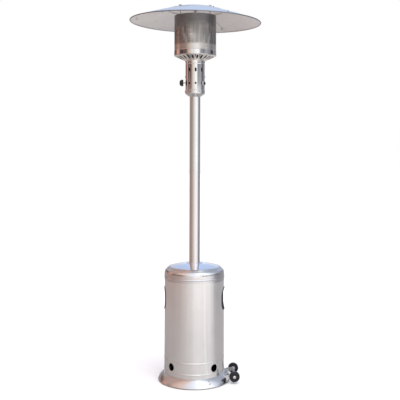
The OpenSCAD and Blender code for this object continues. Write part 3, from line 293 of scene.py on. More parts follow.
# Each finish: base colour, metal, roughness and its spread, the grain's scale along X, Y and Z and
# its depth, the strength and scale of broad waves, and the stains' strength. Some have more:
# satin adds roughness outside a radius, brushed smears the reflections upright, rim paints shade
# past a radius and inner paints shade past an X, and zones are the emitter's bands by height, with
# painted shade and heat tint at the top and a painted sheen at the foot.
finishes = {
    "polished_steel": dict(colour=(0.80, 0.80, 0.81), metal=1, rough=0.06, spread=0.03,
                           grain=(6, 6, 420), depth=0.012, waves=0.04, waveScale=7.0, stain=0.05,
                           satin=(0.152, 0.156, 0.14)),
    "satin_steel": dict(colour=(0.88, 0.87, 0.855), metal=0.80, rough=0.20, spread=0.04,
                        grain=(5, 5, 700), depth=0.05, waves=0.01, waveScale=4.0, stain=0.05,
                        brushed=0.95),
    "plain_steel": dict(colour=(0.56, 0.57, 0.58), metal=1, rough=0.38, spread=0.12,
                        grain=(90, 90, 90), depth=0.05, waves=0.05, waveScale=30.0, stain=0.12),
    "dark_steel": dict(colour=(0.13, 0.13, 0.135), metal=0.6, rough=0.50, spread=0.12,
                       grain=(140, 140, 140), depth=0.08, waves=0.04, waveScale=20.0, stain=0.20),
    "reflector_metal": dict(colour=(0.85, 0.845, 0.835), metal=1, rough=0.36, spread=0.10,
                            grain=(60, 60, 60), depth=0.03, waves=0.16, waveScale=5.0, stain=0.08,
                            # rim: painted shade on the rolled rim and its crease, past a radius
                            rim=(0.3885, 0.3905, (0.38, 0.39, 0.43))),
    "emitter_steel": dict(colour=(0.56, 0.54, 0.52), metal=1, rough=0.30, spread=0.12,
                          grain=(12, 12, 160), depth=0.05, waves=0.03, waveScale=12.0, stain=0.12,
                          # In zones, dark is painted shade with heat tint over the head band, light a
                          # painted sheen under the foot
                          zones={"foot": (1.994, 2.012), "head": (2.095, 2.140),
                                 "streak": (0.36, 0.68), "streakScale": (70, 70, 4.0),
                                 "streakDetail": 1.5, "dull": (0.66, 0.66, 0.67),
                                 "light": (1.35, 1.35, 1.34), "dark": (0.46, 0.475, 0.50)}),
    "burner_iron": dict(colour=(0.10, 0.095, 0.09), metal=0.7, rough=0.65, spread=0.15,
                        grain=(200, 200, 200), depth=0.25, waves=0.10, waveScale=40.0, stain=0.30),
    "brass": dict(colour=(0.78, 0.60, 0.30), metal=1, rough=0.26, spread=0.10, grain=(60, 60, 260),
                  depth=0.04, waves=0.05, waveScale=40.0, stain=0.15,
                  # inner: painted shade on the brass inside the control head
                  inner=(-0.060, -0.056, (0.22, 0.20, 0.18))),
    "copper_lead": dict(colour=(0.70, 0.40, 0.26), metal=1, rough=0.32, spread=0.12,
                        grain=(120, 120, 120), depth=0.05, waves=0.05, waveScale=40.0, stain=0.25),
    "ceramic": dict(colour=(0.88, 0.86, 0.80), metal=0, rough=0.22, spread=0.08, grain=(160, 160, 160),
                    depth=0.02, waves=0.04, waveScale=60.0, stain=0.08),
    "black_plastic": dict(colour=(0.018, 0.018, 0.019), metal=0, rough=0.42, spread=0.14,
                          grain=(900, 900, 900), depth=0.10, waves=0.03, waveScale=60.0, stain=0.20),
    "wheel_plastic": dict(colour=(0.014, 0.014, 0.015), metal=0, rough=0.30, spread=0.16,
                          grain=(500, 500, 500), depth=0.06, waves=0.06, waveScale=60.0, stain=0.25),
    "cap_metal": dict(colour=(0.80, 0.79, 0.78), metal=1, rough=0.20, spread=0.08,
                      grain=(120, 120, 120), depth=0.02, waves=0.06, waveScale=60.0, stain=0.08),
    "rubber": dict(colour=(0.022, 0.022, 0.023), metal=0, rough=0.70, spread=0.12,
                   grain=(420, 420, 420), depth=0.15, waves=0.05, waveScale=30.0, stain=0.25),
}
# What all finishes share
mottle = {
    "grainDetail": 3.0,
    "smudge": {"Scale": 9.0, "Detail": 5.0, "Roughness": 0.6},
    "waveDetail": 1.0,
    "smudgeShare": 0.7,         # of the stains; the rest is grain
    "stainFrom": 0.3,
    "stainTo": 0.7,
    "lighter": 0.5,             # how far stains lighten, against how far they darken
    "smudgeSpread": 1.4,        # what smudges do to the roughness, against what grain does
    "leastRough": 0.03,
    "waveHeight": 20 * mm,
    "grainHeight": 1 * mm,
    "brushTurn": 0.25,          # a quarter turn of the brushing, as the shader counts it
}
paints = {}


def shaded(colour, share, tone):
    # The colour times the tone where the share is 1
    settings = {"data_type": "RGBA", "blend_type": "MULTIPLY"}
    return colour.node("ShaderNodeMix", settings, {0: share, 6: colour, 7: (*tone, 1)}, 2)


def throughNoise(start, scale, detail):
    # Noise on the object coordinates, stretched by its own scale along each axis
    stretched = start.node("ShaderNodeMapping", None, {0: start, "Scale": scale})
    return start.node("ShaderNodeTexNoise", None, {0: stretched, "Scale": 1.0, "Detail": detail})


def emitterColour(start, colour, zones):
    # Dull upright streaks where the screen is perforated; above them a darker plain band, heat tint
    # with painted shade under the reflector; below them a lighter plain band, a painted sheen
    z = start.part(2)
    mesh = z.between(*zones["foot"]) * (1 - z.between(*zones["head"]))
    streak = throughNoise(start, zones["streakScale"], zones["streakDetail"])
    colour = shaded(colour, mesh * streak.between(*zones["streak"]), zones["dull"])
    # Painted shade with heat tint: darker in the plain band under the reflector
    colour = shaded(colour, z.between(*zones["head"]), zones["dark"])
    # Painted sheen: lighter in the plain band at the foot
    return shaded(colour, z.between(*zones["foot"], 1.0, 0.0), zones["light"])


def finish(name):
    # Smudges and grain mixed tint the colour, and each moves the roughness off its mean; the
    # waves and the grain are the bump
    if name in paints:
        return paints[name]
    f, m = finishes[name], mottle
    material, shader, start = newMaterial(name)
    grain = throughNoise(start, f["grain"], m["grainDetail"])
    smudge = start.node("ShaderNodeTexNoise", None, {0: start, **m["smudge"]})
    waveSet = {0: start, "Scale": f["waveScale"], "Detail": m["waveDetail"]}
    wave = start.node("ShaderNodeTexNoise", None, waveSet)
    dark = [c * (1 - f["stain"]) for c in f["colour"]]
    light = [min(1, c * (1 + m["lighter"] * f["stain"])) for c in f["colour"]]
    mixed = smudge * m["smudgeShare"] + grain * (1 - m["smudgeShare"])
    colour = mixed.between(m["stainFrom"], m["stainTo"]).tint(dark, light)
    if "zones" in f:
        colour = emitterColour(start, colour, f["zones"])
    if "cone" in f:
        # Painted shade a skin's depth inside the cone's outer face
        cone = f["cone"]
        (r0, z0), (r1, z1) = cone["foot"], cone["rim"]
        depth = fromAxis(start) - ((start.part(2) - z0) * ((r1 - r0) / (z1 - z0)) + r0)
        colour = shaded(colour, depth.between(*cone["skin"], 1.0, 0.0), cone["tone"])
    if "inner" in f:
        # Painted shade past an X, inside the control head
        colour = shaded(colour, start.part(0).between(*f["inner"][:2]), f["inner"][2])
    if "rim" in f:
        # Painted shade past a radius, on the reflector's rolled rim and its crease
        colour = shaded(colour, fromAxis(start).between(*f["rim"][:2]), f["rim"][2])
    join(colour, shader, "Base Color")
    smudgeSpread = m["smudgeSpread"] * f["spread"]
    rough = f["rough"] + (grain - 0.5) * f["spread"] + (smudge - 0.5) * smudgeSpread
    if "satin" in f:
        rough = rough + fromAxis(start).between(*f["satin"][:2], 0.0, f["satin"][2])
    join(rough.maths("MAXIMUM", rough, m["leastRough"]), shader, "Roughness")
    shader.inputs["Metallic"].default_value = f["metal"]
    if "brushed" in f:
        shader.inputs["Anisotropic"].default_value = f["brushed"]
        shader.inputs["Anisotropic Rotation"].default_value = m["brushTurn"]
    rippleSet = {"Height": wave, "Strength": f["waves"], "Distance": m["waveHeight"]}
    ripple = start.node("ShaderNodeBump", None, rippleSet)
    fineSet = {"Height": grain, "Strength": f["depth"], "Distance": m["grainHeight"], "Normal": ripple}
    join(start.node("ShaderNodeBump", None, fineSet), shader, "Normal")
    paints[name] = material
    return material


nearlyHalf = 0.49    # of a side, the most that rounding one corner takes


def arcPath(centre, radius, start, end, steps):
    # Points on a circle: centre + radius (cos a, sin a), with a from start to end in degrees
    a = np.radians(np.linspace(start, end, steps))
    return np.stack([centre[0] + radius * np.cos(a), centre[1] + radius * np.sin(a)], 1)


def bentPath(a, b, c, steps, start=0.0, end=1.0):
    # Quadratic curve (1-t)^2 a + 2t(1-t) b + t^2 c
    t = np.linspace(start, end, steps)[:, None]
    return (1 - t) ** 2 * np.array(a) + 2 * t * (1 - t) * np.array(b) + t ** 2 * np.array(c)


def straight(a, b, steps=2):
    # Even points on the line from a to b
    t = np.linspace(0, 1, steps)[:, None]
    return (1 - t) * np.array(a, float) + t * np.array(b, float)


def rounded(points, radii, steps=6):
    # Path with each inner corner cut by a quadratic curve that starts radius away from the corner,
    # or just short of the middle of a side where that is less
    points = [np.array(p, float) for p in points]
    out = [points[0][None]]
    for before, here, after, radius in zip(points, points[1:], points[2:], radii):
        back, on = before - here, after - here
        first = here + back * min(radius / np.linalg.norm(back), nearlyHalf)
        last = here + on * min(radius / np.linalg.norm(on), nearlyHalf)
        out.append(bentPath(first, here, last, steps))
    out.append(points[-1][None])
    return np.concatenate(out)


def quads(i, j, columns, following):
    # The four corners of cell (i, j) in a grid with that many columns; following is its right column
    return np.stack([i * columns + j, i * columns + following, (i + 1) * columns + following,
                     (i + 1) * columns + j], -1).reshape(-1, 4)


def spun(path, columns):
    # Turned surface: (r cos u, r sin u, z) for each path point (r, z) and each turn u
    path = np.asarray(path, float)
    turns = np.radians(np.linspace(0, 360, columns + 1))[:-1]
    r, z = path[:, 0][:, None], path[:, 1][:, None]
    points = np.stack([r * np.cos(turns), r * np.sin(turns), z + 0 * turns], 2)
    i, j = np.meshgrid(np.arange(len(path) - 1), np.arange(columns), indexing="ij")
    return points.reshape(-1, 3), quads(i, j, columns, (j + 1) % columns)


piercing = {
    "halvings": 32,      # steps to find a hole's outline
    "crowding": 1.4,     # over 1, the rings crowd towards the hole
}


def outlineReach(aims, half, corner):
    # Distance from the middle to a rounded rectangle along each unit vector, by halving the bracket
    low, high = np.zeros(len(aims)), np.full(len(aims), 2 * (half[0] + half[1]))
    for _ in range(piercing["halvings"]):
        middle = (low + high) / 2
        q = np.abs(aims * middle[:, None]) - (np.array(half) - corner)
        gap = np.linalg.norm(np.maximum(q, 0), axis=1) + np.minimum(q.max(1), 0) - corner
        low, high = np.where(gap < 0, middle, low), np.where(gap < 0, high, middle)
    return (low + high) / 2


def pierced(place, columns, levels, holes, rings=4):
    # Grid of turns by levels whose cells round each hole give way to rings that run from the
    # hole's outline to the cells' edge. place(turn, level) puts every point in space.
    step = math.tau / columns
    levels = np.asarray(levels, float)
    rows = len(levels)
    turns = np.tile(np.arange(columns) * step, rows)
    heights = np.repeat(levels, columns)
    kept = np.ones((rows - 1, columns), bool)
    extraTurns, extraHeights, extraFaces = [], [], []
    used = rows * columns
    for hole in holes:
        radius, half, margin = hole["radius"], hole["half"], hole["margin"]
        reach = (half[0] + margin) / radius
        c0, c1 = math.floor((hole["turn"] - reach) / step), math.ceil((hole["turn"] + reach) / step)
        r0 = int(np.argmin(np.abs(levels - (hole["level"] - half[1] - margin))))
        r1 = int(np.argmin(np.abs(levels - (hole["level"] + half[1] + margin))))
        kept[r0:r1, np.arange(c0, c1) % columns] = False
        across, up = np.arange(c0, c1 + 1), np.arange(r0, r1 + 1)
        edgeColumn = np.concatenate([across, np.full(len(up) - 1, c1), across[-2::-1],
                                     np.full(len(up) - 2, c0)])
        edgeRow = np.concatenate([np.full(len(across), r0), up[1:],
                                  np.full(len(across) - 1, r1), up[-2:0:-1]])
        edge = np.stack([(edgeColumn * step - hole["turn"]) * radius,
                         levels[edgeRow] - hole["level"]], 1)
        aims = edge / np.linalg.norm(edge, axis=1)[:, None]
        inner = aims * outlineReach(aims, half, hole["corner"])[:, None]
        count = len(edge)
        share = (np.arange(rings) / rings) ** piercing["crowding"]
        ringPoints = inner[None] + (edge - inner)[None] * share[:, None, None]
        extraTurns.append((ringPoints[..., 0] / radius + hole["turn"]).ravel())
        extraHeights.append((ringPoints[..., 1] + hole["level"]).ravel())
        index = used + np.arange(rings * count).reshape(rings, count)
        index = np.concatenate([index, (edgeRow * columns + edgeColumn % columns)[None]])
        after = np.roll(index, -1, axis=1)
        extraFaces.append(np.stack([index[:-1], index[1:], after[1:], after[:-1]], 2).reshape(-1, 4))
        used += rings * count
    i, j = np.nonzero(kept)
    faces = quads(i, j, columns, (j + 1) % columns)
    points = place(np.concatenate([turns] + extraTurns), np.concatenate([heights] + extraHeights))
    return points, np.concatenate([faces] + extraFaces)


def together(*surfaces):
    # Several surfaces as one list of points and faces
    points, faces, used = [], [], 0
    for p, f in surfaces:
        points.append(p)
        faces.append(f + used)
        used += len(p)
    return np.concatenate(points), np.concatenate(faces)


mergeWithin = 0.02 * mm


def makePiece(name, surface, slot, body, nodes, wall=0.0, sharp=34, paint=None):
    # Puts points and faces into a mesh, merges its doubles, gives it a wall on its inner side and
    # lets it ride. Its finish is the slot's own, if it has no other paint.
    points, faces = surface
    mesh = bpy.data.meshes.new(name)
    mesh.vertices.add(len(points))
    mesh.vertices.foreach_set("co", np.asarray(points, np.float32).ravel())
    mesh.loops.add(faces.size)
    mesh.loops.foreach_set("vertex_index", faces.astype(np.int32).ravel())
    mesh.polygons.add(len(faces))
    mesh.polygons.foreach_set("loop_start", np.arange(len(faces), dtype=np.int32) * 4)
    mesh.update(calc_edges=True)
    mesh.validate()
    work = bmesh.new()
    work.from_mesh(mesh)
    bmesh.ops.remove_doubles(work, verts=work.verts, dist=mergeWithin)
    loose = [v for v in work.verts if not v.link_faces]
    bmesh.ops.delete(work, geom=loose, context="VERTS")
    work.to_mesh(mesh)
    work.free()
    piece = bpy.data.objects.new(name, mesh)
    bpy.context.scene.collection.objects.link(piece)
    if wall:
        solid = piece.modifiers.new("wall", "SOLIDIFY")
        solid.thickness = wall
        solid.offset = -1
        solid.use_even_offset = True
        graph = bpy.context.evaluated_depsgraph_get()
        final = bpy.data.meshes.new_from_object(piece.evaluated_get(graph))
        piece.modifiers.clear()
        piece.data = final
        bpy.data.meshes.remove(mesh)
        mesh = final
        mesh.name = name
    mesh.polygons.foreach_set("use_smooth", np.ones(len(mesh.polygons), bool))
    mesh.set_sharp_from_angle(angle=math.radians(sharp))
    mesh.materials.clear()
    mesh.materials.append(finish(paint or slot))
    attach(piece, body)
    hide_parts(*nodes)


def bump(x, half):
    # Smooth hump: cos^2 of x over half, nothing past it
    return np.where(np.abs(x) < half, np.cos(np.clip(x / half, -1, 1) * math.pi / 2) ** 2, 0)


def turnBetween(a, b):
    # The smaller angle between two turns: the size of the angle of e^(i (a - b))
    return np.abs(np.angle(np.exp(1j * (a - b))))


def levelsOf(*stretches):
    # Levels that run through each stretch (from, to, step), without repeats
    found = [np.linspace(a, b, max(2, int(round((b - a) / step)) + 1)) for a, b, step in stretches]
    return np.unique(np.round(np.concatenate(found), 7))


flare = {
    "foot": 215 * mm, "rollZ": 6 * mm, "roll": 4 * mm, "top": (181 * mm, 49.7 * mm),
    "swell": 4 * mm, "spigotR": 176 * mm, "spigotTop": 63.7 * mm, "wall": 1.08 * mm,
    "rollTurns": (-215, 14), "slopeShares": (0.05, 0.95), "seatShare": 0.97, "seatR": 1.5 * mm,
}


def flareCurve(start, end, steps):
    # The base cover's slope: a quadratic curve swollen out of the straight cone
    foot, top = np.array([flare["foot"], flare["rollZ"]]), np.array(flare["top"])
    way = top - foot
    out = np.array([way[1], -way[0]]) / np.linalg.norm(way)
    return bentPath(foot, (foot + top) / 2 + 2 * flare["swell"] * out, top, steps, start, end)


def makeFlare():
    # Spun from the rolled edge, the slope, and the seat and spigot that the housing stands on
    f = flare
    roll = arcPath((f["foot"] - f["roll"], f["rollZ"]), f["roll"], *f["rollTurns"], 18)
    seat = rounded([flareCurve(f["seatShare"], 1, 2)[0], f["top"], (f["spigotR"], f["top"][1]),
                    (f["spigotR"], f["spigotTop"])], [f["seatR"], f["seatR"]])
    path = np.concatenate([roll, flareCurve(*f["slopeShares"], 16), seat])
    makePiece("baseFlare", spun(path, 240), "polished_steel", "root", ["base_flare"], f["wall"], 50)


housing = {
    "radius": 178 * mm, "foot": 50 * mm, "top": 633.8 * mm, "turn": -3.5,
    "beads": (73 * mm, 138 * mm), "beadOut": 1.8 * mm, "beadHalf": 4.5 * mm,
    "ventZ": 104 * mm, "ventR": 22.5 * mm, "bossR": 33 * mm, "bossOut": 1.0 * mm,
    "handZ": 489 * mm, "handHalf": (63 * mm, 66 * mm), "handCorner": 46 * mm,
    "columns": 288, "wall": 1.2 * mm, "fade": 4 * mm, "margin": 2.5 * mm,
    "beadZone": (66 * mm, 144 * mm),
}


def makeHousing():
    # A pierced cylinder, with finer levels where its two beads and its holes are
    h = housing
    vents = [math.radians(h["turn"] + 45 + 90 * i) for i in range(4)]
    hands = [math.radians(h["turn"] + 180 * i) for i in range(2)]

    def place(turn, z):
        # Cylinder with two beads that fade out round the vents, and a low boss round each vent
        off = np.min([np.hypot(h["radius"] * turnBetween(turn, v), z - h["ventZ"])
                      for v in vents], axis=0)
        beads = sum(bump(z - b, h["beadHalf"]) for b in h["beads"])
        fade = np.clip((off - h["bossR"]) / h["fade"], 0, 1)
        boss = bump(off - 0.5 * (h["ventR"] + h["bossR"]), 0.5 * (h["bossR"] - h["ventR"]))
        r = h["radius"] + h["beadOut"] * beads * fade + h["bossOut"] * boss
        return np.stack([r * np.cos(turn), r * np.sin(turn), z], 1)

    margin = h["margin"]
    ventReach, handReach = h["ventR"] + margin, h["handHalf"][1] + margin
    ventLow, ventHigh = h["ventZ"] - ventReach, h["ventZ"] + ventReach
    handLow, handHigh = h["handZ"] - handReach, h["handZ"] + handReach
    beadLow, beadHigh = h["beadZone"]
    levels = levelsOf((h["foot"], beadLow, 4 * mm), (beadLow, ventLow, 1.6 * mm),
                      (ventLow, ventHigh, 5.5 * mm), (ventHigh, beadHigh, 1.6 * mm),
                      (beadHigh, handLow, 40 * mm), (handLow, handHigh, 12 * mm),
                      (handHigh, h["top"], 20 * mm))
    holes = [dict(turn=v, level=h["ventZ"], radius=h["radius"], half=(h["ventR"], h["ventR"]),
                  corner=h["ventR"], margin=margin) for v in vents]
    holes += [dict(turn=v, level=h["handZ"], radius=h["radius"], half=h["handHalf"],
                   corner=h["handCorner"], margin=margin) for v in hands]
    surface = pierced(place, h["columns"], levels, holes)
    makePiece("housingShell", surface, "satin_steel", "housing", ["housing_shell"], h["wall"], 50)


lid = {
    "skirtR": 179.5 * mm, "foot": 602 * mm, "shoulderZ": 635 * mm, "turnZ": 656.4 * mm, "top": 677 * mm,
    "ledgeW": 12 * mm, "ledgeZ": 665.5 * mm,
    "discR": 152 * mm, "grooveW": 2.6 * mm, "grooveD": 3 * mm, "discZ": 678 * mm, "discTop": 698 * mm,
    "boreR": 32.8 * mm, "flatR": 52 * mm, "beadZ": 619 * mm, "beadOut": 1.7 * mm, "beadHalf": 5 * mm,
    "wall": 1.2 * mm, "lipGap": 2 * mm, "edge": 3 * mm, "edgeDrop": 2.5 * mm,
    "domeStart": (0.2 * mm, 0.1 * mm),      # inwards and up from the disc's rounded edge
    "corners": (0.6 * mm, 0.8 * mm, 1.2 * mm, 0.5 * mm, 0.5 * mm, 1.5 * mm),
}


def makeLid():
    # Spun from a beaded skirt, a quadratic shoulder, a stepped ledge with a groove, and the domed disc
    d = lid
    z = np.linspace(d["foot"], d["shoulderZ"], 24)
    skirt = np.stack([d["skirtR"] + d["beadOut"] * bump(z - d["beadZ"], d["beadHalf"]), z], 1)
    lipR = d["discR"] + d["grooveW"]
    ledgeR = d["discR"] + d["lipGap"] + d["ledgeW"]
    shoulder = bentPath((d["skirtR"], d["shoulderZ"]), (d["skirtR"], d["turnZ"]),
                        (ledgeR + d["lipGap"], d["ledgeZ"]), 26)
    grooveZ = d["top"] - d["grooveD"]
    domeR = d["discR"] - d["edge"]
    groove = rounded([shoulder[-2], shoulder[-1], (ledgeR, d["ledgeZ"]), (lipR, d["top"]),
                      (lipR, grooveZ), (d["discR"], grooveZ),
                      (d["discR"], d["discZ"] - d["edgeDrop"]), (domeR, d["discZ"])], d["corners"])
    inwards, up = d["domeStart"]
    dome = bentPath((domeR - inwards, d["discZ"] + up), (d["discR"] / 2, d["discTop"]),
                    (d["flatR"], d["discTop"]), 24)
    path = np.concatenate([skirt, shoulder[1:-1], groove, dome, [(d["boreR"], d["discTop"])]])
    makePiece("housingLid", spun(path, 240), "polished_steel", "housing", ["housing_lid"],
              d["wall"], 50)


collar = {
    "boreR": 32.8 * mm, "radius": 49 * mm, "lipR": 36 * mm, "foot": 698 * mm, "height": 4 * mm,
    "edge": 1.5 * mm, "corners": (0.8 * mm, 1.5 * mm, 0.5 * mm, 0.1 * mm),
}


def makeCollar():
    # A low cone, spun as a closed section
    c = collar
    top = c["foot"] + c["height"]
    path = rounded([(c["radius"], c["foot"]), (c["radius"], c["foot"] + c["edge"]), (c["lipR"], top),
                    (c["boreR"], top), (c["boreR"], c["foot"]), (c["radius"], c["foot"])], c["corners"])
    makePiece("lidCollar", spun(path, 128), "polished_steel", "housing", ["lid_collar"])


post = {"radius": 32 * mm, "wall": 1.5 * mm, "foot": 637 * mm, "top": 1716 * mm}


def makePost():
    # A tube: its outer side, its top edge and its inner side, spun
    p = post
    inner = p["radius"] - p["wall"]
    path = np.concatenate([straight((p["radius"], p["foot"]), (p["radius"], p["top"]), 24),
                           straight((inner, p["top"]), (inner, p["foot"]), 4),
                           [(p["radius"], p["foot"])]])
    makePiece("post", spun(path, 128), "polished_steel", "root", ["post"])


head = {
    "radius": 58 * mm, "wall": 1.2 * mm, "neckZ": 1693 * mm, "neckR": 32.3 * mm, "cupR": 59.3 * mm,
    "cupZ": 1711 * mm, "cupTop": 1734 * mm, "foot": 1716 * mm, "top": 1906.7 * mm,
    "lipOut": 0.9 * mm, "lipHalf": 1.8 * mm, "beadZ": 1891 * mm, "beadOut": 0.8 * mm, "beadHalf": 3 * mm,
    "lowerZ": 1773 * mm, "upperZ": 1853 * mm, "roundR": 6.2 * mm, "tall": (5.5 * mm, 12 * mm),
    "stemZ": 1777 * mm, "stemR": 5 * mm, "buttonTurn": -26, "buttonR": 10.3 * mm, "firstTurn": -86.5,
    "cupCorner": 5 * mm, "cupWall": 1 * mm, "holes": 9, "margin": 1 * mm,
    "roundZone": 12 * mm, "tallZone": 13 * mm, "beadZone": 4 * mm,      # finer levels each side
}


def makeHead():
    # The cup is spun, its top edge rolled out by a hump; the shell is a pierced cylinder
    h = head
    cup = rounded([(h["neckR"], h["neckZ"]), (h["cupR"], h["cupZ"]), (h["cupR"], h["cupTop"])],
                  [h["cupCorner"]], 10)
    cup = np.concatenate([straight(cup[0], cup[1], 6)[:-1], cup[1:-1],
                          straight(cup[-2], cup[-1], 40)[1:]])
    cup[:, 0] += h["lipOut"] * bump(cup[:, 1] - h["cupTop"] + h["lipHalf"], h["lipHalf"])
    makePiece("headCup", spun(cup, 160), "polished_steel", "root", ["head_cup"], h["cupWall"], 50)

    def place(turn, z):
        # Cylinder with one low bead under its top
        r = h["radius"] + h["beadOut"] * bump(z - h["beadZ"], h["beadHalf"])
        return np.stack([r * np.cos(turn), r * np.sin(turn), z], 1)

    def hole(turn, level, half):
        # A hole whose ends are half circles as wide as itself
        return dict(turn=turn, level=level, radius=h["radius"], half=half, corner=half[0],
                    margin=h["margin"])

    turns = [math.radians(h["firstTurn"] + 360 / h["holes"] * i) for i in range(h["holes"])]
    holes = [hole(t, h["lowerZ"], (h["roundR"],) * 2) for t in turns]
    holes += [hole(t, h["upperZ"], h["tall"]) for t in turns]
    holes.append(hole(math.pi, h["stemZ"], (h["stemR"],) * 2))
    holes.append(hole(math.radians(h["buttonTurn"]), h["lowerZ"], (h["buttonR"],) * 2))
    low, high = h["lowerZ"] - h["roundZone"], h["lowerZ"] + h["roundZone"]
    tallLow, tallHigh = h["upperZ"] - h["tallZone"], h["upperZ"] + h["tallZone"]
    beadLow, beadHigh = h["beadZ"] - h["beadZone"], h["beadZ"] + h["beadZone"]
    levels = levelsOf((h["foot"], low, 9 * mm), (low, high, 1 * mm), (high, tallLow, 11 * mm),
                      (tallLow, tallHigh, 2 * mm), (tallHigh, beadLow, 7 * mm),
                      (beadLow, beadHigh, 0.8 * mm), (beadHigh, h["top"], 3 * mm))
    surface = pierced(place, 288, levels, holes, 3)
    makePiece("headShell", surface, "polished_steel", "root", ["head_shell"], h["wall"], 50)


pan = {
    "neckR": 59.3 * mm, "foot": 1899.3 * mm, "neckZ": 1907 * mm, "rimR": 127 * mm, "rimZ": 1938 * mm,
    "wall": 1 * mm, "slots": 24, "slotShares": (0.30, 0.82), "slotHalf": 5 * mm,
    "upstandR": 125.5 * mm, "upstandTop": 1952 * mm, "bandTop": 1969 * mm, "bandWall": 1.2 * mm,
    "sightTurn": -127, "sightHalf": (7.5 * mm, 11 * mm), "seam": 0.2 * mm, "margin": 1.5 * mm,
    "bandEdge": 0.5 * mm, "bandEdgeHalf": 1.6 * mm, "bandZone": 2 * mm, "bandMargin": 1.6 * mm,
}
# Its own steel has painted shade inside the cone, from a skin's depth under the outer face
finishes["pan_steel"] = dict(finishes["polished_steel"], colour=(0.94, 0.92, 0.88), rough=0.16,
                             cone={"foot": (pan["neckR"], pan["neckZ"]),
                                   "rim": (pan["rimR"], pan["rimZ"]),
                                   "skin": (-1 * mm, -0.6 * mm), "tone": (0.10, 0.09, 0.085)})


def makePan():
    # A neck and a cone with round-ended slots up its slope, and a plain upstand in the screen's foot
    p = pan
    neck, rim = np.array([p["neckR"], p["neckZ"]]), np.array([p["rimR"], p["rimZ"]])
    length = np.linalg.norm(rim - neck)

    def place(turn, level):
        # Below 0 the level is a height on the neck, above 0 a length up the cone
        share = np.clip(level / length, 0, 1)[:, None]
        at = neck + share * (rim - neck) + np.minimum(level, 0)[:, None] * np.array([0, 1])
        return np.stack([at[:, 0] * np.cos(turn), at[:, 0] * np.sin(turn), at[:, 1]], 1)

    low, high = (share * length for share in p["slotShares"])
    middle = (low + high) / 2
    radius = neck[0] + middle / length * (rim - neck)[0]
    margin = p["margin"]
    levels = levelsOf((p["foot"] - p["neckZ"], 0, 2.6 * mm), (0, low - margin, 6 * mm),
                      (low - margin, high + margin, 4 * mm), (high + margin, length, 4 * mm))
    holes = [dict(turn=math.radians((i + 0.5) * 360 / p["slots"]), level=middle, radius=radius,
                  half=(p["slotHalf"], (high - low) / 2), corner=p["slotHalf"], margin=margin)
             for i in range(p["slots"])]
    upstand = spun(straight((p["upstandR"], p["rimZ"] + p["seam"]),
                            (p["upstandR"], p["upstandTop"])), 240)
    surface = together(pierced(place, 240, levels, holes, 3), upstand)
    makePiece("burnerPan", surface, "polished_steel", "root", ["burner_pan"], p["wall"], 40,
              "pan_steel")


def sightHoles(radius, level, half, margin):
    # The four sight holes, cut through the band and through the screen behind it
    return [dict(turn=math.radians(pan["sightTurn"] + 90 * i), level=level, radius=radius, half=half,
                 corner=half[0], margin=margin) for i in range(4)]


def makeBand():
    # A pierced cylinder over the pan's rim
    p = pan
    foot = p["rimZ"] + p["wall"]
    middle = (foot + p["bandTop"]) / 2

    def place(turn, z):
        # Cylinder whose two edges are turned in by a hair
        edge = np.minimum(z - foot, p["bandTop"] - z)
        r = p["rimR"] - p["bandEdge"] * bump(edge, p["bandEdgeHalf"])
        return np.stack([r * np.cos(turn), r * np.sin(turn), z], 1)

    low, high = foot + p["bandZone"], p["bandTop"] - p["bandZone"]
    levels = levelsOf((foot, low, 0.5 * mm), (low, high, 2.6 * mm), (high, p["bandTop"], 0.5 * mm))
    holes = sightHoles(p["rimR"], middle, p["sightHalf"], p["bandMargin"])
    makePiece("burnerBand", pierced(place, 240, levels, holes), "polished_steel", "root",
              ["burner_band"], p["bandWall"], 50)


screen = {
    "radius": 125.5 * mm, "wall": 0.8 * mm, "foot": 1952.3 * mm, "top": 2178.3 * mm,
    "meshLow": 2004 * mm, "meshHigh": 2124 * mm, "pitch": 6.1 * mm, "holeR": 1.55 * mm, "notch": 9 * mm,
    "footZone": 1967 * mm, "fineZone": 7 * mm, "notchRise": 1 * mm,
}


def makeScreen():
    # Plain cylinders under and over the perforated one, all with the same radius
    s = screen
    columns = 2 * int(round(math.tau * s["radius"] / s["pitch"] / 2))
    rows = int(round((s["meshHigh"] - s["meshLow"]) / (s["pitch"] * math.sin(math.radians(60)))))
    plain = 2 * columns
    sightZ = (pan["rimZ"] + pan["wall"] + pan["bandTop"]) / 2
    fineLow, fineHigh = s["meshLow"] - s["fineZone"], s["meshHigh"] + s["fineZone"]
    lower = levelsOf((s["foot"], s["footZone"], 2.1 * mm), (s["footZone"], fineLow, 10 * mm),
                     (fineLow, s["meshLow"], 1 * mm))
    points, faces = spun(np.stack([np.full(len(lower), s["radius"]), lower], 1), plain)
    # The sight holes come through the screen's foot as notches a little wider than the band's holes
    middle = points[faces].mean(1)
    turn = np.arctan2(middle[:, 1], middle[:, 0])
    off = s["radius"] * np.min([turnBetween(turn, hole["turn"]) for hole in
                                sightHoles(s["radius"], sightZ, pan["sightHalf"], 0)], axis=0)
    notched = (off < s["notch"]) & (middle[:, 2] < sightZ + pan["sightHalf"][1] + s["notchRise"])
    foot = (points, faces[~notched])
    upper = levelsOf((s["meshHigh"], fineHigh, 1 * mm), (fineHigh, s["top"], 12 * mm))
    head = spun(np.stack([np.full(len(upper), s["radius"]), upper], 1), plain)
    surface = together(foot, perforated(columns, rows), head)
    makePiece("emitterScreen", surface, "emitter_steel", "root", ["emitter_screen"], s["wall"], 50)


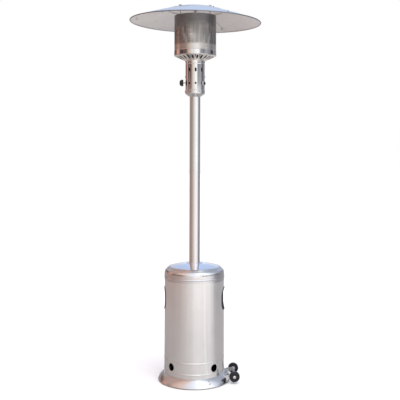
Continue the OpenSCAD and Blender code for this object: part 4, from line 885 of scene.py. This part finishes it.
def perforated(columns, rows):
    # Staggered round holes: each hole sits in a cell, and a ring of eight quads joins the hole's
    # eight points to the cell's eight edge points, which the next cells share
    s = screen
    cellW, cellH = math.tau / columns, (s["meshHigh"] - s["meshLow"]) / rows
    edge = np.array([(-0.5, -0.5), (0, -0.5), (0.5, -0.5), (0.5, 0),
                     (0.5, 0.5), (0, 0.5), (-0.5, 0.5), (-0.5, 0)])
    aims = edge / np.linalg.norm(edge, axis=1)[:, None]
    row, column = np.meshgrid(np.arange(rows), np.arange(columns), indexing="ij")
    row, column = row.ravel(), column.ravel()
    middleTurn = (column + 0.5 * (row % 2)) * cellW
    middleZ = s["meshLow"] + (row + 0.5) * cellH
    outerTurn = middleTurn[:, None] + edge[:, 0] * cellW
    outerZ = middleZ[:, None] + edge[:, 1] * cellH
    holeTurn = middleTurn[:, None] + aims[:, 0] * s["holeR"] / s["radius"]
    holeZ = middleZ[:, None] + aims[:, 1] * s["holeR"]
    turn = np.concatenate([outerTurn, holeTurn], 1).ravel()
    z = np.concatenate([outerZ, holeZ], 1).ravel()
    points = np.stack([s["radius"] * np.cos(turn), s["radius"] * np.sin(turn), z], 1)
    k = np.arange(8)
    cell = np.stack([k, (k + 1) % 8, 8 + (k + 1) % 8, 8 + k], 1)
    faces = (np.arange(rows * columns) * 16)[:, None, None] + cell[None]
    return points, faces.reshape(-1, 4)


reflector = {
    "radius": 394.9 * mm, "rimZ": 2138.3 * mm, "rise": 69 * mm, "swell": 3 * mm, "roll": 3 * mm,
    "innerR": 167 * mm, "crownR": 180 * mm, "crownRise": 30 * mm, "thick": 1.2 * mm,
    "tilt": 1.3, "towards": 18, "panels": 3, "firstTurn": 60, "lap": 3.4, "gap": 0.3 * mm,
    "wall": 1.14 * mm, "rollTurns": (-210, 66), "slopeFrom": 0.012, "middleR": 0.5 * mm,
    "ramp": 1.2, "rampFrom": 1.3, "rimCut": 0.25,       # degrees, the last two before a third's end
    "plainTo": 1.4, "riseFrom": 1.2, "riseTo": 0.1, "lapFrom": 0.2,     # where the columns crowd
}


def tilted(points):
    # Turn by tilt about the level axis through the rim's middle, down towards the given side
    s = reflector
    towards, tilt = math.radians(s["towards"]), math.radians(s["tilt"])
    out = np.array([math.cos(towards), math.sin(towards), 0])
    side = np.array([-math.sin(towards), math.cos(towards), 0])
    moved = points - np.array([0, 0, s["rimZ"]])
    along, across, up = moved @ out, moved @ side, moved[:, 2]
    newAlong = along * math.cos(tilt) + up * math.sin(tilt)
    newUp = up * math.cos(tilt) - along * math.sin(tilt)
    return np.outer(newAlong, out) + np.outer(across, side) + np.outer(newUp + s["rimZ"], [0, 0, 1])


def panelCurve(steps, start=0.0, end=1.0):
    # A panel's slope from the rim to under the crown, swollen out of the straight cone
    s = reflector
    foot = np.array([s["radius"] - s["roll"], s["rimZ"] + s["roll"]])
    top = foot[1] + (s["rise"] - s["roll"]) * (s["radius"] - s["innerR"]) / (s["radius"] - s["crownR"])
    inner = np.array([s["innerR"], top])
    way = inner - foot
    out = np.array([way[1], -way[0]]) / np.linalg.norm(way)
    return bentPath(foot, (foot + inner) / 2 + 2 * s["swell"] * out, inner, steps, start, end)


def makePanels():
    # Each third is spun from the rolled rim and the slope. Its far end rises along the slope's
    # normal by a smooth step and laps over the next third.
    s = reflector
    centre = (s["radius"] - s["roll"], s["rimZ"] + s["roll"])
    roll = arcPath(centre, s["roll"], *s["rollTurns"], 16)
    path = np.concatenate([roll, panelCurve(28, s["slopeFrom"], 1)])
    ahead, back = np.roll(path, -1, 0), np.roll(path, 1, 0)
    ahead[-1], back[0] = path[-1], path[0]
    way = (ahead - back) / np.linalg.norm(ahead - back, axis=1)[:, None]
    normal = np.stack([way[:, 1], -way[:, 0]], 1)
    onSlope = np.clip((np.arange(len(path)) - len(roll)) / 2.0, 0, 1)
    span = 360 / s["panels"]
    lapRise = s["thick"] + s["gap"]
    for i in range(s["panels"]):
        first = s["firstTurn"] + i * span
        degrees = np.concatenate([np.linspace(0, span - s["plainTo"], 78),
                                  np.linspace(span - s["riseFrom"], span - s["riseTo"], 7),
                                  np.linspace(span + s["lapFrom"], span + s["lap"], 5)])
        lifted = np.clip((degrees - (span - s["rampFrom"])) / s["ramp"], 0, 1)
        lifted = lifted * lifted * (3 - 2 * lifted) * lapRise
        # Past its own third the panel keeps only its slope, lifted over its neighbour
        turns = np.radians(first + degrees)
        lift = normal[:, None, :] * (lifted[None, :] * onSlope[:, None])[..., None]
        at = path[:, None, :] + lift
        points = np.stack([at[..., 0] * np.cos(turns), at[..., 0] * np.sin(turns), at[..., 1]], 2)
        columns = len(degrees)
        a, b = np.meshgrid(np.arange(len(path) - 1), np.arange(columns - 1), indexing="ij")
        keep = (a >= len(roll) + 1) | (degrees[b] < span - s["rimCut"])
        a, b = a[keep], b[keep]
        surface = (tilted(points.reshape(-1, 3)), quads(a, b, columns, b + 1))
        makePiece(f"reflectorPanel{i + 1}", surface, "reflector_metal", "root",
                  [f"reflector_panel_{i + 1}"], s["wall"], 50)


def makeCrown():
    # Spun from a parabola that lies a lap's height over the panels' slope
    s = reflector
    share = (s["radius"] - s["crownR"]) / (s["radius"] - s["innerR"])
    lift = s["thick"] + s["gap"] + 4 * s["swell"] * share * (1 - share)
    r = np.linspace(s["crownR"], s["middleR"], 40)
    top = s["rimZ"] + s["rise"] + lift + s["crownRise"] * (1 - (r / s["crownR"]) ** 2)
    points, faces = spun(np.stack([r, top], 1), 192)
    makePiece("reflectorCrown", (tilted(points), faces), "reflector_metal", "root",
              ["reflector_crown"], s["wall"], 50)


wheel = {
    "x": 238.5 * mm, "z": 40 * mm, "offsets": {"wheel_front": -88 * mm, "wheel_back": 88 * mm},
    "radius": 31 * mm, "half": 10 * mm, "bore": 5.05 * mm, "hub": 11 * mm, "rimIn": 23.5 * mm,
    "dish": 3 * mm, "slant": 1 * mm, "shoulder": (2.5 * mm, 3 * mm),
    "dishRound": 0.8 * mm, "shoulderRound": 1.2 * mm, "treadRound": 2 * mm, "boreRound": 0.4 * mm,
}


def onAxle(points, y):
    # A shape turned about Z is laid over so that it turns about the axle along Y
    return np.stack([wheel["x"] + points[:, 0], y + points[:, 2], wheel["z"] - points[:, 1]], 1)


def makeWheels():
    # Spun from a closed section that is dished between hub and rim on both sides
    w = wheel
    half, r, bore = w["half"], w["radius"], w["bore"]
    hub, rim, floor = w["hub"], w["rimIn"], half - w["dish"]
    inwards, along = w["shoulder"]
    side = [(hub, half), (hub + w["slant"], floor), (rim - w["slant"], floor), (rim, half),
            (r - inwards, half), (r, half - along)]
    mirrored = [(x, -y) for x, y in side]
    outline = [(bore, -half)] + mirrored + side[::-1] + [(bore, half), (bore, -half)]
    radii = [w["dishRound"]] * 4 + [w["shoulderRound"], w["treadRound"]]
    path = rounded(outline, radii + radii[::-1] + [w["boreRound"]], 4)
    for node, y in w["offsets"].items():
        points, faces = spun(path, 96)
        makePiece(node.replace("_f", "F").replace("_b", "B"), (onAxle(points, y), faces),
                  "wheel_plastic", node, [node], sharp=40)


knob = {
    "x": 71 * mm, "z": 1777 * mm, "radius": 20 * mm, "skirt": 13 * mm, "gripR": 16.4 * mm,
    "grip": 8 * mm, "draft": 1 * mm, "flutes": 10, "fluteDepth": 1.5 * mm, "flutePower": 8,
    "fluteFade": (1 * mm, 2 * mm), "boreR": 3.5 * mm, "middleR": 0.2 * mm,
    "corners": (1 * mm, 1.6 * mm, 0.8 * mm, 1.5 * mm),
    "bar": 4.2 * mm, "barSunk": 7 * mm, "barRise": 3 * mm, "barShare": 0.94,
    "barWaist": 0.15, "barDroop": 0.12, "barCorner": 0.45,
}


def makeKnob():
    # Spun from a skirt and a grip. The skirt's radius is less by the depth times a high power of
    # the cosine of the flutes' turn. The bar is a rounded section carried across the grip's end,
    # its width and height falling off with the square and the fourth power of the way out.
    k = knob
    gripTop = k["skirt"] + k["grip"]
    path = rounded([(k["boreR"], 0), (k["radius"], 0), (k["radius"], k["skirt"]),
                    (k["gripR"], k["skirt"]), (k["gripR"] - k["draft"], gripTop),
                    (k["middleR"], gripTop)], k["corners"], 5)
    path = np.concatenate([straight(a, b, 4)[:-1] for a, b in zip(path, path[1:])] + [path[-1:]])
    points, faces = spun(path, 200)
    turn, r = np.arctan2(points[:, 1], points[:, 0]), np.hypot(points[:, 0], points[:, 1])
    edge = np.clip((r - k["gripR"] - k["fluteFade"][0]) / k["fluteFade"][1], 0, 1)
    wave = np.cos(turn * k["flutes"] / 2 + math.pi / 2) ** k["flutePower"]
    depth = k["fluteDepth"] * edge * wave
    points[:, :2] *= ((r - depth) / r)[:, None]
    skirt = (points, faces)
    across = np.linspace(-1, 1, 17)
    up = rounded([(-1, 0), (-1, 1), (1, 1), (1, 0)], [k["barCorner"]] * 2, 6)
    x = np.repeat(across[:, None], len(up), 1)
    width = k["bar"] * (1 - k["barWaist"] * across ** 2)[:, None]
    height = k["barRise"] * (1 - k["barDroop"] * across ** 4)[:, None]
    bar = np.stack([k["gripR"] * k["barShare"] * x, width * up[:, 0][None],
                    k["skirt"] + k["barSunk"] + height * up[:, 1][None]], 2)
    rows, columns = bar.shape[:2]
    a, b = np.meshgrid(np.arange(rows - 1), np.arange(columns - 1), indexing="ij")
    sides = np.stack([a * columns + b, (a + 1) * columns + b, (a + 1) * columns + b + 1,
                      a * columns + b + 1], 2).reshape(-1, 4)
    last = columns - 1
    i = np.arange(columns // 2 - 1)
    capA = np.stack([i, i + 1, last - 1 - i, last - i], 1)
    capB = capA[:, ::-1] + (rows - 1) * columns
    ridge = (bar.reshape(-1, 3), np.concatenate([sides, capA, capB]))
    points, faces = together(skirt, ridge)
    # The knob's axis points along -X
    placed = np.stack([-k["x"] - points[:, 2], points[:, 0], k["z"] - points[:, 1]], 1)
    makePiece("controlKnob", (placed, faces), "black_plastic", "control_knob", ["control_knob"],
              sharp=45)


def dressSolids():
    # The remaining solids keep their own meshes and take the finish of their slot
    for row in record["subparts"]:
        node = frame["nodes"][row["node"]]
        node.data.materials.clear()
        node.data.materials.append(finish(row["material_slot"]))


makeCamera()
makeSurroundings()
makeStage()
dressSolids()
print("stage and finishes made")
makeFlare()
makeHousing()
makeLid()
makeCollar()
print("base and housing made")
makePost()
makeHead()
makePan()
makeBand()
makeScreen()
print("head and burner made")
makePanels()
makeCrown()
print("reflector made")
makeWheels()
makeKnob()
print("wheels and knob made")

bpy.context.scene.view_settings.view_transform = "Standard"
